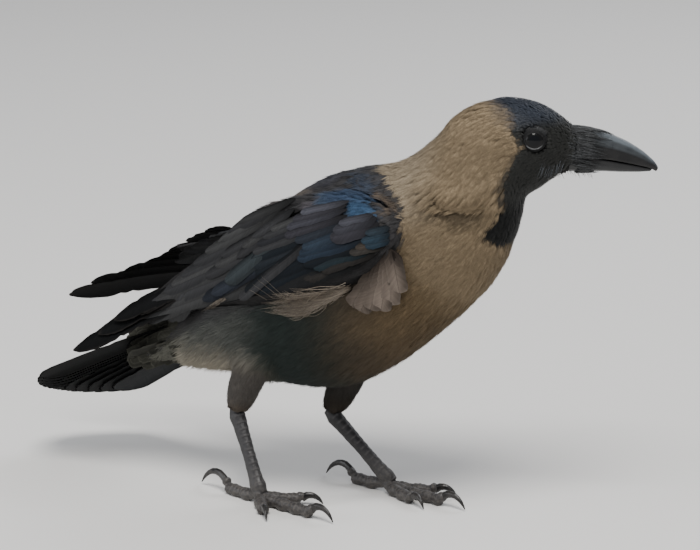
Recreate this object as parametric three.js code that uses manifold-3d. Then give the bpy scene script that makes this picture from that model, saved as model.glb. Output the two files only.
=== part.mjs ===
// A house crow standing in mid-stride with its head turned to the left, life size, in millimetres.
// +X runs from the tail to the breast, +Y is the bird's left, +Z is up, and the feet stand on Z = 0.
// The solids give the outline out to the tips of the feathers; each named piece is one closed body.
import * as THREE from "three";
import { mergeVertices } from "three/addons/utils/BufferGeometryUtils.js";
import Module from "manifold-3d";

const wasm = await Module();
wasm.setup();

// ---- driving dimensions -------------------------------------------------------------------
const GAP = 0.3; // clearance between neighbouring pieces
const PLATE = 0.9; // thickness of a flight feather with the vanes that lie on it
const HEAD_TURN = THREE.MathUtils.degToRad(27); // the head looks this far to the bird's left
const HEAD_AT = [85, 12, 190]; // middle of the skull
const EYE = { forward: 7.3, up: 3.9, out: 14, radius: 6.6 }; // from the middle of the skull
const TAIL_LENGTH = 150;
const TAIL_FEATHERS = 12;
const TARSUS = { top: 4.1, middle: 3.4, foot: 4.3 }; // half widths, front to back

const SKIN = { feathers: 0x5b4f44, black: 0x17171a, horn: 0x1d1d1f, leg: 0x26252a };

// ---- shape tools --------------------------------------------------------------------------
const vec = (a) => new THREE.Vector3(...a);
const mix = THREE.MathUtils.lerp;

// A closed three.js geometry as a solid; a body whose faces point inwards is turned right.
function solidOf(geometry) {
  const bare = geometry.clone();
  bare.deleteAttribute("normal");
  bare.deleteAttribute("uv");
  const merged = mergeVertices(bare, 1e-4);
  const vertProperties = merged.attributes.position.array;
  const triVerts = new Uint32Array(merged.index.array);
  const made = new wasm.Manifold(new wasm.Mesh({ numProp: 3, vertProperties, triVerts }));
  if (made.volume() > 0) return made;
  return new wasm.Manifold(new wasm.Mesh({ numProp: 3, vertProperties, triVerts: triVerts.reverse() }));
}

// A body through oval rings. A station is { at, wide, up, down }: the ring's centre, its half width
// and its reach above and below. `side` is the direction of the rings' width; without it the width
// is level. `square` over 2 fills the ring's corners, and `grow` swells the whole body.
function loft(stations, { grow = 0, around = 20, between = 2, side = null, square = 2 } = {}) {
  const path = new THREE.CatmullRomCurve3(stations.map((s) => vec(s.at)));
  const sizes = new THREE.CatmullRomCurve3(stations.map((s) => new THREE.Vector3(s.wide, s.up, s.down)));
  const rings = (stations.length - 1) * between;
  const points = [];
  const faces = [];
  const bend = (x) => Math.sign(x) * Math.abs(x) ** (2 / square);
  for (let i = 0; i <= rings; i++) {
    const centre = path.getPoint(i / rings);
    const along = path.getTangent(i / rings);
    const size = sizes.getPoint(i / rings);
    const level = side ? vec(side) : new THREE.Vector3(-along.y, along.x, 0);
    level.addScaledVector(along, -level.dot(along)).normalize();
    const rise = along.clone().cross(level).normalize();
    for (let j = 0; j < around; j++) {
      const angle = (2 * Math.PI * j) / around;
      const reach = Math.sin(angle) > 0 ? size.y : size.z;
      points.push(
        centre
          .clone()
          .addScaledVector(level, bend(Math.cos(angle)) * (Math.max(size.x, 0.2) + grow))
          .addScaledVector(rise, bend(Math.sin(angle)) * (Math.max(reach, 0.2) + grow)),
      );
    }
  }
  for (const [i, sign] of [[0, -1], [rings, 1]]) {
    const along = path.getTangent(i / rings);
    const size = sizes.getPoint(i / rings);
    const cap = 0.35 * Math.max(size.x, 0) + grow;
    points.push(path.getPoint(i / rings).addScaledVector(along, sign * cap));
  }
  const start = points.length - 2;
  for (let j = 0; j < around; j++) {
    const next = (j + 1) % around;
    for (let i = 0; i < rings; i++) {
      const [a, b] = [i * around + j, i * around + next];
      faces.push(a, b, b + around, a, b + around, a + around);
    }
    faces.push(start, next, j, start + 1, rings * around + j, rings * around + next);
  }
  const geometry = new THREE.BufferGeometry().setFromPoints(points).setIndex(faces);
  return solidOf(geometry);
}

const ball = (at, radius) => solidOf(new THREE.SphereGeometry(radius, 12, 8).translate(...at));

// The largest piece of a solid, without the slivers that a cut may leave.
const largest = (solid) => solid.decompose().reduce((a, b) => (b.volume() > a.volume() ? b : a));

// The part of a solid on the side of a plane that the normal points to.
function beyond(solid, at, normal, gap = GAP / 2) {
  const n = vec(normal).normalize();
  return solid.trimByPlane(n.toArray(), n.dot(vec(at)) + gap);
}

const before = (solid, at, normal) => beyond(solid, at, vec(normal).negate().toArray());
const cut = (solid, ...others) => largest(others.reduce((left, other) => left.subtract(other), solid));

// ---- head ---------------------------------------------------------------------------------
// A point of the head, from its forward reach, its reach to the bird's left and its height.
function onHead(forward, left, height) {
  const [c, s] = [Math.cos(HEAD_TURN), Math.sin(HEAD_TURN)];
  return [HEAD_AT[0] + forward * c - left * s, HEAD_AT[1] + forward * s + left * c, height];
}
const headSide = onHead(0, 1, 0).map((x, i) => (i < 2 ? x - HEAD_AT[i] : 0));
const headRing = ([forward, height, wide, up, down]) => ({
  at: onHead(forward, 0, height),
  wide,
  up,
  down,
});

// forward, height, half width, up, down
const SKULL = [
  [-33, 186, 7, 9, 9],
  [-28, 188, 14, 14.8, 15],
  [-18, 189.5, 18.6, 20, 19],
  [-6, 190, 20.4, 22.4, 23],
  [6, 190, 19.4, 20.6, 27.5],
  [15, 188.6, 16.4, 17.2, 22],
  [23, 187, 12.2, 13.2, 13.6],
  [30, 186, 8.8, 10.4, 10],
  [33, 186, 6.5, 8.5, 8],
].map(headRing);

// forward, cutting edge, half width, height above the cutting edge
const UPPER_BILL = [
  [19, 184.6, 9.2, 12.6],
  [28, 184.3, 8.4, 13],
  [36, 183.7, 7.3, 12.3],
  [44, 182.5, 6.1, 11.3],
  [52, 180.9, 4.9, 9.4],
  [60, 179, 3.5, 6.4],
  [65, 177.6, 2.3, 3.6],
  [68, 175.9, 1.2, 1.6],
].map(([forward, edge, wide, up]) => ({ at: onHead(forward, 0, edge), wide, up, down: 0.3 }));

// forward, cutting edge, half width, depth below the cutting edge
const LOWER_BILL = [
  [17, 183.5, 8.6, 8],
  [27, 183.3, 7.6, 7.6],
  [36, 182.6, 6.5, 6.8],
  [44, 181.4, 5.3, 5.8],
  [52, 179.8, 4.1, 4.6],
  [60, 178, 2.8, 2.8],
  [65.5, 176.7, 1.3, 1.1],
].map(([forward, edge, wide, down]) => ({ at: onHead(forward, 0, edge), wide, up: 0.2, down }));

const billShape = { side: headSide, around: 14, square: 2.2 };
const upperBill = (grow = 0) => loft(UPPER_BILL, { ...billShape, grow });
const lowerBill = (grow = 0) => loft(LOWER_BILL, { ...billShape, grow, between: 1 });
const eye = (left, grow = 0) =>
  ball(onHead(EYE.forward, left * EYE.out, HEAD_AT[2] + EYE.up), EYE.radius + grow);

// ---- neck, trunk and rump -----------------------------------------------------------------
// x, y, z, half width, up, down: from the head down the neck and along the trunk to the tail coverts
const BODY = [
  [83, 10, 186, 17, 23, 14],
  [77.5, 7, 175, 20, 34.8, 17],
  [67, 3.5, 160, 24.5, 37.5, 27],
  [52, 1, 144, 30, 43.5, 35.5],
  [32, 0, 129, 34.5, 52, 39.2],
  [10, 0, 115.5, 36.5, 56, 44],
  [-13, 0, 104.5, 36, 53, 47],
  [-36, 0, 96, 33, 44, 40.5],
  [-58, 0, 89, 28, 33, 32],
  [-80, 0, 80, 22, 22, 21],
  [-101, 0, 70, 15, 10, 10],
  [-117, 0, 63, 8, 5, 4.5],
].map(([x, y, z, wide, up, down]) => ({ at: [x, y, z], wide, up, down }));
const body = (grow = 0) => loft(BODY, { grow, around: 20 });

const THROAT_CUT = { at: [75, 5, 178], normal: [0.57, 0, 0.82] }; // head above, neck below
const NECK_CUT = { at: [48, 1, 141], normal: [0.74, 0, 0.67] }; // neck above, trunk below
const RUMP_CUT = { at: [-66, 0, 86], normal: [-0.94, 0, -0.35] }; // rump beyond

// ---- wings --------------------------------------------------------------------------------
// A folded wing is a crescent that lies on the body: x, distance from the midline, z, half
// thickness, reach to the upper edge, reach to the lower edge.
const RIGHT_WING = {
  side: -1,
  lean: 27,
  rings: [
    [43, 28, 151, 3, 5, 5],
    [36, 31, 150, 8, 14, 14],
    [20, 33, 145, 10, 25, 22],
    [-2, 34, 135, 10, 32, 21],
    [-28, 32, 125, 9, 34, 18],
    [-54, 27, 114, 6.5, 25.5, 13],
    [-80, 22, 103, 4, 18, 9],
    [-108, 20, 90, 2, 8, 6],
  ],
  quillLean: 48,
  quillRoot: [-66, 24, 106],
  quillTips: [
    [-118, 22, 90],
    [-129, 21.5, 83],
    [-140, 21, 76],
    [-153, 20, 66.5],
  ],
  quillHalfWidth: 9,
};
const LEFT_WING = {
  side: 1,
  lean: 38,
  rings: [
    [43, 28, 151, 3, 5, 5],
    [36, 31, 150, 8, 14, 14],
    [20, 33, 145, 10, 25, 22],
    [-2, 35, 136, 10, 31, 21],
    [-28, 35, 128, 9, 31, 19],
    [-56, 34, 121, 6, 29, 16],
    [-86, 34, 114, 3.5, 25, 14],
    [-116, 35, 106, 2, 14, 13],
  ],
  quillLean: 44,
  quillRoot: [-74, 35, 111],
  quillTips: [
    [-146, 40, 97],
    [-162, 41, 90.5],
    [-177, 42, 84.5],
    [-193, 43, 79],
  ],
  quillHalfWidth: 11,
};
const COVERT_CUT = { at: [-12, 0, 0], normal: [1, 0, 0.35] }; // coverts in front, flight feathers behind

// The outward face of a wing, or of its long quills, which lie flatter than the wing does.
const faceOf = (wing, degrees) => {
  const lean = THREE.MathUtils.degToRad(degrees);
  return [0, wing.side * Math.cos(lean), Math.sin(lean)];
};

function wingShell(wing, grow = 0) {
  const stations = wing.rings.map(([x, out, z, wide, up, down]) => ({
    at: [x, wing.side * out, z],
    wide,
    up,
    down,
  }));
  return loft(stations, { grow, side: faceOf(wing, wing.lean), around: 16 });
}

// One long feather: a thin plate that widens from its quill and ends in a rounded tip.
const VANE = [
  [0, 0.3],
  [0.3, 0.9],
  [0.86, 0.9],
  [0.97, 0.5],
  [1, 0.15],
];
function quill(root, tip, halfWidth, face, grow = 0) {
  const stations = VANE.map(([t, share]) => {
    const at = root.map((x, i) => mix(x, tip[i], t));
    return { at, wide: halfWidth * share, up: PLATE / 2, down: PLATE / 2 };
  });
  return loft(stations, { grow, around: 6, between: 1, side: acrossTo(root, tip, face) });
}
// The width direction of a plate that runs from root to tip and faces along `face`.
const acrossTo = (root, tip, face) => vec(tip).sub(vec(root)).cross(vec(face)).normalize().toArray();

function primaries(wing) {
  const face = faceOf(wing, wing.quillLean);
  const quills = wing.quillTips.map(([x, out, z], i) => {
    const lift = 0.45 * i; // each feather lies a little further in than the one before
    const shift = (p) => p.map((value, k) => value - face[k] * lift);
    const root = shift([wing.quillRoot[0], wing.side * wing.quillRoot[1], wing.quillRoot[2]]);
    return quill(root, shift([x, wing.side * out, z]), wing.quillHalfWidth, face);
  });
  return quills.reduce((all, one) => all.add(one));
}

// ---- tail ---------------------------------------------------------------------------------
const TAIL = { root: [-48, 0, 96], droop: 25, swing: 5.5, roll: -20, spread: 12.7, halfWidth: 11 };
const TAIL_SIDES_SHORTER = 16; // the outermost feathers end this far short of the middle pair
function tailFan(grow = 0) {
  const turn = new THREE.Matrix4()
    .makeRotationZ(THREE.MathUtils.degToRad(-TAIL.swing))
    .multiply(new THREE.Matrix4().makeRotationY(THREE.MathUtils.degToRad(-TAIL.droop)))
    .multiply(new THREE.Matrix4().makeRotationX(THREE.MathUtils.degToRad(TAIL.roll)));
  const face = vec([0, 0, 1]).transformDirection(turn).toArray();
  const feathers = Array.from({ length: TAIL_FEATHERS }, (_, i) => {
    const share = (2 * i) / (TAIL_FEATHERS - 1) - 1; // -1 at the right edge, +1 at the left edge
    const angle = THREE.MathUtils.degToRad(TAIL.spread * share);
    const length = TAIL_LENGTH - TAIL_SIDES_SHORTER * share * share;
    const lift = -0.4 * Math.abs(share) * TAIL_FEATHERS * 0.5; // the middle pair lies on top
    const place = (reach) =>
      vec([-reach * Math.cos(angle), reach * Math.sin(angle), lift])
        .applyMatrix4(turn)
        .add(vec(TAIL.root))
        .toArray();
    return quill(place(0), place(length), TAIL.halfWidth, face, grow);
  });
  return feathers.reduce((all, one) => all.add(one));
}

// ---- legs and feet ------------------------------------------------------------------------
// Toe rows: the direction from +X in degrees, the reach of its last pad and the claw's reach.
const LEGS = {
  right: {
    hip: [-37, -20, 84],
    knee: [-46, -21, 66],
    hock: [-55.5, -18.5, 44],
    foot: [-38, -28, 9],
    toes: { middle: [-16, 36, 15], inner: [20, 21, 11], outer: [-54, 20, 11], hind: [160, 23, 20] },
  },
  left: {
    hip: [-3, 18, 80],
    knee: [-10.5, 19.5, 60],
    hock: [-20.5, 19.5, 38],
    foot: [11, 19, 8.5],
    toes: { middle: [-14, 36, 15], inner: [-33, 24, 12], outer: [8, 25, 12], hind: [164, 22, 19] },
  },
};
const PAD = 3; // half thickness of a toe at a pad

function thigh(leg) {
  const stations = [
    { at: leg.hip, wide: 10, up: 13, down: 13 },
    { at: leg.knee, wide: 8, up: 9.4, down: 9.8 },
    { at: leg.hock.map((x, i) => mix(leg.knee[i], x, 0.6)), wide: 6.8, up: 7.8, down: 8.4 },
    { at: leg.hock, wide: 4.8, up: 5.4, down: 5.8 },
  ];
  return loft(stations, { side: [0, 1, 0], around: 12 });
}

function tarsus(leg, grow = 0) {
  const shin = (t, half, thick) => ({
    at: leg.hock.map((x, i) => mix(x, leg.foot[i], t)),
    wide: half * 0.78,
    up: thick,
    down: half,
  });
  const stations = [
    shin(-0.06, 3.2, 3),
    shin(0.06, TARSUS.top + 0.6, TARSUS.top),
    shin(0.2, TARSUS.top, TARSUS.top - 0.3),
    shin(0.55, TARSUS.middle, TARSUS.middle),
    shin(0.85, TARSUS.middle + 0.3, TARSUS.middle + 0.2),
    shin(1, TARSUS.foot, TARSUS.foot),
    shin(1.1, TARSUS.foot - 0.6, TARSUS.foot - 0.6),
  ];
  return loft(stations, { grow, side: [0, 1, 0], around: 12, between: 1 });
}

// A toe as a string of pads and joints from under the shin to its last pad, flat on the floor.
function toePath([bearing, reach], foot) {
  const angle = THREE.MathUtils.degToRad(bearing);
  const at = (r, z) => [foot[0] + r * Math.cos(angle), foot[1] + r * Math.sin(angle), z];
  const joints = Math.round(reach / 9);
  const rows = [{ at: at(0, foot[2] * 0.62), size: PAD * 0.95 }];
  for (let k = 1; k <= joints; k++) {
    const r = (reach * k) / joints;
    rows.push({ at: at(r - reach / joints / 2, k === 1 ? PAD * 1.25 : PAD * 1.05), size: PAD * 0.84 });
    rows.push({ at: at(r, PAD * 0.9), size: PAD * (1.06 - 0.03 * k) });
  }
  return { at, rows };
}

function toe(row, foot, grow = 0) {
  const stations = toePath(row, foot).rows.map(({ at, size }) => ({
    at,
    wide: size * 0.95,
    up: size,
    down: size,
  }));
  return beyond(loft(stations, { grow, around: 8, between: 1 }), [0, 0, 0], [0, 0, 1], 0);
}

// A claw: a horn that arches up from the last pad and comes down to a point near the floor.
function claw(row, foot) {
  const [, reach, length] = row;
  const { at } = toePath(row, foot);
  const arch = [
    [0.02, 4.8, 2.2],
    [0.25, 7, 2.05],
    [0.55, 7, 1.65],
    [0.82, 4.6, 1.1],
    [1, 1.1, 0.35],
  ];
  const rise = length / 15;
  const stations = arch.map(([t, z, size]) => ({
    at: at(reach + 1.2 + t * length, z * rise),
    wide: size * 0.8,
    up: size,
    down: size,
  }));
  return beyond(loft(stations, { around: 7 }), [0, 0, 0], [0, 0, 1], 0);
}

// ---- assembly -----------------------------------------------------------------------------
const crow = new THREE.Group();
crow.name = "house_crow";

function add(name, solid, color, roughness = 0.8) {
  const mesh = solid.getMesh();
  const geometry = new THREE.BufferGeometry()
    .setAttribute("position", new THREE.BufferAttribute(mesh.vertProperties, 3))
    .setIndex(new THREE.BufferAttribute(mesh.triVerts, 1));
  geometry.computeVertexNormals();
  const piece = new THREE.Mesh(geometry, new THREE.MeshStandardMaterial({ color, roughness }));
  piece.name = name;
  crow.add(piece);
}

const sides = [
  ["left", 1, LEFT_WING],
  ["right", -1, RIGHT_WING],
];
const skull = loft(SKULL, { side: headSide, around: 16 });
const flesh = skull.add(body());
const swollenBody = body(GAP).add(loft(SKULL, { side: headSide, around: 16, grow: GAP }));
const tail = cut(tailFan(), swollenBody);

const headFlesh = beyond(flesh, THROAT_CUT.at, THROAT_CUT.normal);
const neckFlesh = beyond(before(flesh, THROAT_CUT.at, THROAT_CUT.normal), NECK_CUT.at, NECK_CUT.normal);
const trunkFlesh = before(before(flesh, NECK_CUT.at, NECK_CUT.normal), RUMP_CUT.at, RUMP_CUT.normal);
const rumpFlesh = beyond(flesh, RUMP_CUT.at, RUMP_CUT.normal);

add("head", cut(headFlesh, upperBill(GAP), lowerBill(GAP), eye(1, GAP), eye(-1, GAP)), SKIN.black);
add("neck", largest(neckFlesh), SKIN.feathers);
add("trunk", largest(trunkFlesh), SKIN.feathers);
add("rump", largest(rumpFlesh), SKIN.black);
add("bill_upper", upperBill(), SKIN.horn, 0.35);
add("bill_lower", lowerBill(), SKIN.horn, 0.35);
add("tail", tail, SKIN.black, 0.6);

for (const [name, side, wing] of sides) {
  add(`eye_${name}`, eye(side), 0x0b0908, 0.08);

  const shell = wingShell(wing).subtract(swollenBody);
  const coverts = largest(beyond(shell, COVERT_CUT.at, COVERT_CUT.normal));
  const flight = largest(before(shell, COVERT_CUT.at, COVERT_CUT.normal));
  add(`wing_${name}_coverts`, coverts, SKIN.black, 0.5);
  add(`wing_${name}_secondaries`, flight, SKIN.black, 0.5);
  const primary = cut(primaries(wing), wingShell(wing, GAP), swollenBody, tailFan(GAP));
  add(`wing_${name}_primaries`, primary, SKIN.black, 0.5);

  const leg = LEGS[name];
  const shin = tarsus(leg);
  add(`thigh_${name}`, cut(thigh(leg), body(GAP), tarsus(leg, GAP)), SKIN.feathers);
  add(`tarsus_${name}`, largest(shin), SKIN.leg, 0.45);
  const others = [tarsus(leg, GAP)];
  for (const [toeName, row] of Object.entries(leg.toes)) {
    add(`toe_${name}_${toeName}`, cut(toe(row, leg.foot), ...others), SKIN.leg, 0.5);
    others.push(toe(row, leg.foot, GAP));
  }
  for (const [toeName, row] of Object.entries(leg.toes)) {
    add(`claw_${name}_${toeName}`, cut(claw(row, leg.foot), ...others), SKIN.horn, 0.3);
  }
}

// The frame's origin is the middle of the base of the box round the whole bird.
const box = new THREE.Box3().setFromObject(crow);
crow.position.set(-(box.min.x + box.max.x) / 2, -(box.min.y + box.max.y) / 2, -box.min.z);

export default crow;
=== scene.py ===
"""A house crow, life size: skin, plumage, flight feathers, bill, eyes, legs and claws round the solids.

Shapes are worked out in millimetres in the bird's own axes (+X tail to breast, +Y its left, +Z up) and
are placed in metres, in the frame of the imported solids, when a mesh is made.
"""

import math

import bpy
import numpy as np
from mathutils import Matrix, Vector
from mathutils.bvhtree import BVHTree


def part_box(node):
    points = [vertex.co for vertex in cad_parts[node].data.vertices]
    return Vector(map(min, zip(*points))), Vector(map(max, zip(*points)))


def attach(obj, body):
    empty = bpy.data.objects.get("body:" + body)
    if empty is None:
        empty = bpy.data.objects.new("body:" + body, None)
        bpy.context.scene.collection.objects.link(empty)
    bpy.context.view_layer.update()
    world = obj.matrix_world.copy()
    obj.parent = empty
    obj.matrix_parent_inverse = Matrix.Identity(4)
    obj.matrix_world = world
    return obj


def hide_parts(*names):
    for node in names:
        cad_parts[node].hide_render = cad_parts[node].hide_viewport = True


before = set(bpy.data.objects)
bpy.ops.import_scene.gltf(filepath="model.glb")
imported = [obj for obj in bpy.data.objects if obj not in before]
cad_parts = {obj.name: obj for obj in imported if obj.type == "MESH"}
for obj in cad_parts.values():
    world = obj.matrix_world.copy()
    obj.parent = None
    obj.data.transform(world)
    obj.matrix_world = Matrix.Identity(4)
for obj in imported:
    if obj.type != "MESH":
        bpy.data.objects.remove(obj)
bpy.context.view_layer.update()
rng = np.random.default_rng(27)

MM = 0.001
BODY = "root"

# ---- the bird's axes ----------------------------------------------------------------------
HEAD_TURN = math.radians(27)  # the head looks this far to the bird's left
HEAD_AT = np.array([85.0, 12.0, 190.0])
EYE_FORWARD, EYE_OUT, EYE_HEIGHT, EYE_RADIUS = 7.3, 14.0, 193.9, 6.6
UP = np.array([0.0, 0.0, 1.0])
HEAD_FORWARD = np.array([math.cos(HEAD_TURN), math.sin(HEAD_TURN), 0.0])
HEAD_LEFT = np.array([-math.sin(HEAD_TURN), math.cos(HEAD_TURN), 0.0])


def on_head(forward, left, height):
    """A point by its reach ahead of the middle of the skull, its reach to the left and its height."""
    point = HEAD_AT + forward * HEAD_FORWARD + left * HEAD_LEFT
    return np.array([point[0], point[1], height])


def eye_middle(left):
    return on_head(EYE_FORWARD, left * EYE_OUT, EYE_HEIGHT)


def eye_distance(points):
    """How far each point is from the middle of the nearer eye."""
    return np.min([distance(points, eye_middle(left)) for left in (1, -1)], 0)


def middle_of(node):
    low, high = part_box(node)
    return np.array((low + high) / 2) / MM


SHIFT = middle_of("eye_right") - eye_middle(-1)


def placed(points):
    """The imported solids' frame, in metres, of points in millimetres on the bird's own axes."""
    return (np.asarray(points, float) + SHIFT) * MM


def unplaced(points):
    return np.asarray(points, float) / MM - SHIFT


# ---- camera, floor and light --------------------------------------------------------------
VIEW_TURN, VIEW_RISE = math.radians(27), math.radians(13)
VIEW_DISTANCE, LENS, SENSOR = 1500.0, 154.0, 36.0
VIEW_TARGET = np.array([0.0, 0.0, 117.0])
VIEW_WIDE, VIEW_HIGH = 700, 550  # the units of places given in the camera's view
FLOOR_TONE = (0.72, 0.71, 0.69)
SKY_TONE, SKY_STRENGTH = (0.93, 0.95, 1.0), 0.5
# place and size in metres, power in watts, tone
LAMPS = {
    "key": ((0.5, -1.1, 2.3), 1.2, 70, (1.0, 0.98, 0.95)),
    "fill": ((-1.6, -1.4, 0.7), 1.6, 20, (0.95, 0.97, 1.0)),
    "back": ((0.4, 1.8, 1.6), 1.2, 18, (0.95, 0.97, 1.0)),
}

VIEW_BACK = np.array(
    [
        math.sin(VIEW_TURN) * math.cos(VIEW_RISE),
        -math.cos(VIEW_TURN) * math.cos(VIEW_RISE),
        math.sin(VIEW_RISE),
    ]
)
VIEW_RIGHT = np.array([math.cos(VIEW_TURN), math.sin(VIEW_TURN), 0.0])
VIEW_UP = np.cross(VIEW_BACK, VIEW_RIGHT)
VIEW_FROM = VIEW_TARGET + VIEW_DISTANCE * VIEW_BACK


def sight_line(across, down):
    """The direction from the camera through a place in its view."""
    reach = LENS / SENSOR * VIEW_WIDE
    line = (
        VIEW_RIGHT * (across - VIEW_WIDE / 2) / reach
        - VIEW_UP * (down - VIEW_HIGH / 2) / reach
        - VIEW_BACK
    )
    return line / np.linalg.norm(line)


def deselect():
    bpy.ops.object.select_all(action="DESELECT")


def add_camera():
    data = bpy.data.cameras.new("camera")
    data.lens, data.sensor_width = LENS, SENSOR
    camera = bpy.data.objects.new("camera", data)
    bpy.context.collection.objects.link(camera)
    camera.location = placed(VIEW_FROM)
    camera.rotation_euler = Vector(VIEW_BACK).to_track_quat("Z", "Y").to_euler()
    bpy.context.scene.camera = camera


def add_lamp(name, at, size, power, tone):
    data = bpy.data.lights.new(name, "AREA")
    data.shape, data.size = "DISK", size
    data.energy, data.color = power, tone
    lamp = bpy.data.objects.new(name, data)
    bpy.context.collection.objects.link(lamp)
    lamp.location = at
    toward = Vector(at) - Vector((0, 0, 0.1))
    lamp.rotation_euler = toward.to_track_quat("Z", "Y").to_euler()


def add_studio():
    deselect()
    bpy.ops.mesh.primitive_plane_add(size=14, location=(0, 0, 0))
    floor = bpy.context.object
    floor.name = "floor"
    finish = Finish("floor_pale")
    finish.set(Base_Color=(*FLOOR_TONE, 1), Roughness=0.9)
    floor.data.materials.append(finish.material)
    world = bpy.data.worlds.new("studio")
    bpy.context.scene.world = world
    world.use_nodes = True
    sky = world.node_tree.nodes["Background"]
    sky.inputs["Color"].default_value = (*SKY_TONE, 1)
    sky.inputs["Strength"].default_value = SKY_STRENGTH
    for name, lamp in LAMPS.items():
        add_lamp(name, *lamp)


# ---- materials ----------------------------------------------------------------------------
class Finish:
    """A material being built: its nodes, links and main shader."""

    def __init__(self, name):
        self.material = bpy.data.materials.new(name)
        self.material.use_nodes = True
        self.tree = self.material.node_tree
        self.shader = self.tree.nodes["Principled BSDF"]
        self.output = self.tree.nodes["Material Output"]

    def node(self, kind, inputs=None, **settings):
        made = self.tree.nodes.new(kind)
        for key, value in settings.items():
            setattr(made, key, value)
        for key, value in (inputs or {}).items():
            if isinstance(value, bpy.types.NodeSocket):
                self.tree.links.new(value, made.inputs[key])
            else:
                made.inputs[key].default_value = value
        return made

    def plug(self, source, socket):
        self.tree.links.new(source, self.shader.inputs[socket])

    def set(self, **values):
        for key, value in values.items():
            self.shader.inputs[key.replace("_", " ")].default_value = value

    def noise(self, scale, detail=3.0, vector=None, roughness=0.5):
        inputs = {"Vector": vector or self.place(), "Scale": scale, "Detail": detail, "Roughness": roughness}
        return self.node("ShaderNodeTexNoise", inputs).outputs["Fac"]

    def math(self, operation, first, second=0.0, third=0.0):
        inputs = {0: first, 1: second}
        if operation == "MULTIPLY_ADD":
            inputs[2] = third
        return self.node("ShaderNodeMath", inputs, operation=operation).outputs[0]

    def remap(self, value, low, high, to_low, to_high):
        inputs = {"Value": value, "From Min": low, "From Max": high, "To Min": to_low, "To Max": to_high}
        return self.node("ShaderNodeMapRange", inputs).outputs["Result"]

    def scaled(self, tone, amount):
        """A colour brightened or darkened by a number."""
        amounts = self.node("ShaderNodeCombineXYZ", {0: amount, 1: amount, 2: amount}).outputs[0]
        return self.node("ShaderNodeVectorMath", {0: tone, 1: amounts}, operation="MULTIPLY").outputs[0]

    def mixed(self, share, first, second):
        """Two colours mixed. The node's colour sockets come after those for numbers and vectors."""
        return self.node("ShaderNodeMix", {0: share, 6: first, 7: second}, data_type="RGBA").outputs[2]

    def attribute(self, name, output="Fac"):
        return self.node("ShaderNodeAttribute", attribute_name=name).outputs[output]

    def place(self):
        return self.node("ShaderNodeTexCoord").outputs["Object"]

    def bump(self, height, strength, distance):
        inputs = {"Height": height, "Strength": strength, "Distance": distance}
        self.plug(self.node("ShaderNodeBump", inputs).outputs["Normal"], "Normal")


def plumage_finish():
    """Contour feathers: the colour and gloss that each barb carries, with fine streaks."""
    finish = Finish("contour_feathers")
    tone = finish.attribute("plumage", "Color")
    gloss = finish.attribute("gloss")
    grain = finish.noise(1400, 2.0)
    finish.plug(finish.scaled(tone, finish.remap(grain, 0.3, 0.7, 0.85, 1.15)), "Base Color")
    finish.plug(finish.remap(gloss, 0, 1, 0.85, 0.42), "Roughness")
    finish.bump(grain, 0.3, 0.0001)
    finish.set(Specular_IOR_Level=0.16)
    return finish.material


def skin_finish():
    """Skin under the coat, with the coat's own markings, only darker."""
    finish = Finish("feathered_skin")
    tone = finish.attribute("plumage", "Color")
    grain = finish.noise(700, 4.0)
    finish.plug(finish.scaled(tone, finish.remap(grain, 0.3, 0.7, 0.35, 0.6)), "Base Color")
    finish.bump(grain, 0.6, 0.0004)
    finish.set(Roughness=0.9, Specular_IOR_Level=0.2)
    return finish.material


def vane_finish():
    """Flight feathers and coverts: barbs slanting from a raised shaft, and a gloss along them."""
    finish = Finish("vane_feathers")
    tone = finish.attribute("plumage", "Color")
    gloss = finish.attribute("gloss")
    where = finish.node("ShaderNodeUVMap", uv_map="feather").outputs["UV"]
    parts = finish.node("ShaderNodeSeparateXYZ", {0: where})
    out = finish.math("ABSOLUTE", finish.math("SUBTRACT", parts.outputs[0], 0.5))
    slant = finish.math("MULTIPLY_ADD", out, -1.1, parts.outputs[1])
    barbs = finish.math("SINE", finish.math("MULTIPLY", slant, 1240.0))
    locks = {0: finish.math("MULTIPLY", slant, 60.0), 1: finish.math("MULTIPLY", out, 9.0)}
    streaks = finish.noise(1.0, 4.0, finish.node("ShaderNodeCombineXYZ", locks).outputs[0], 0.6)
    shaft = finish.remap(out, 0.0006, 0.0022, 0.45, 0.0)
    lines = finish.remap(barbs, -1, 1, 0.94, 1.05)
    mottle = finish.math("MULTIPLY", lines, finish.remap(streaks, 0.3, 0.7, 0.8, 1.2))
    worn = finish.scaled(tone, mottle)
    finish.plug(finish.mixed(shaft, worn, (0.006, 0.0055, 0.0055, 1)), "Base Color")
    height = finish.math("MULTIPLY_ADD", shaft, 1.6, finish.math("MULTIPLY_ADD", barbs, 0.2, streaks))
    finish.bump(height, 0.3, 0.0001)
    finish.plug(finish.remap(gloss, 0, 1, 0.75, 0.36), "Roughness")
    finish.plug(finish.remap(gloss, 0, 1, 0.02, 0.24), "Specular IOR Level")
    return finish.material


PAINTED_HIGHLIGHT_TONE = (0.1, 0.116, 0.13, 1)  # the pale painted highlight along the top of the bill


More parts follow.
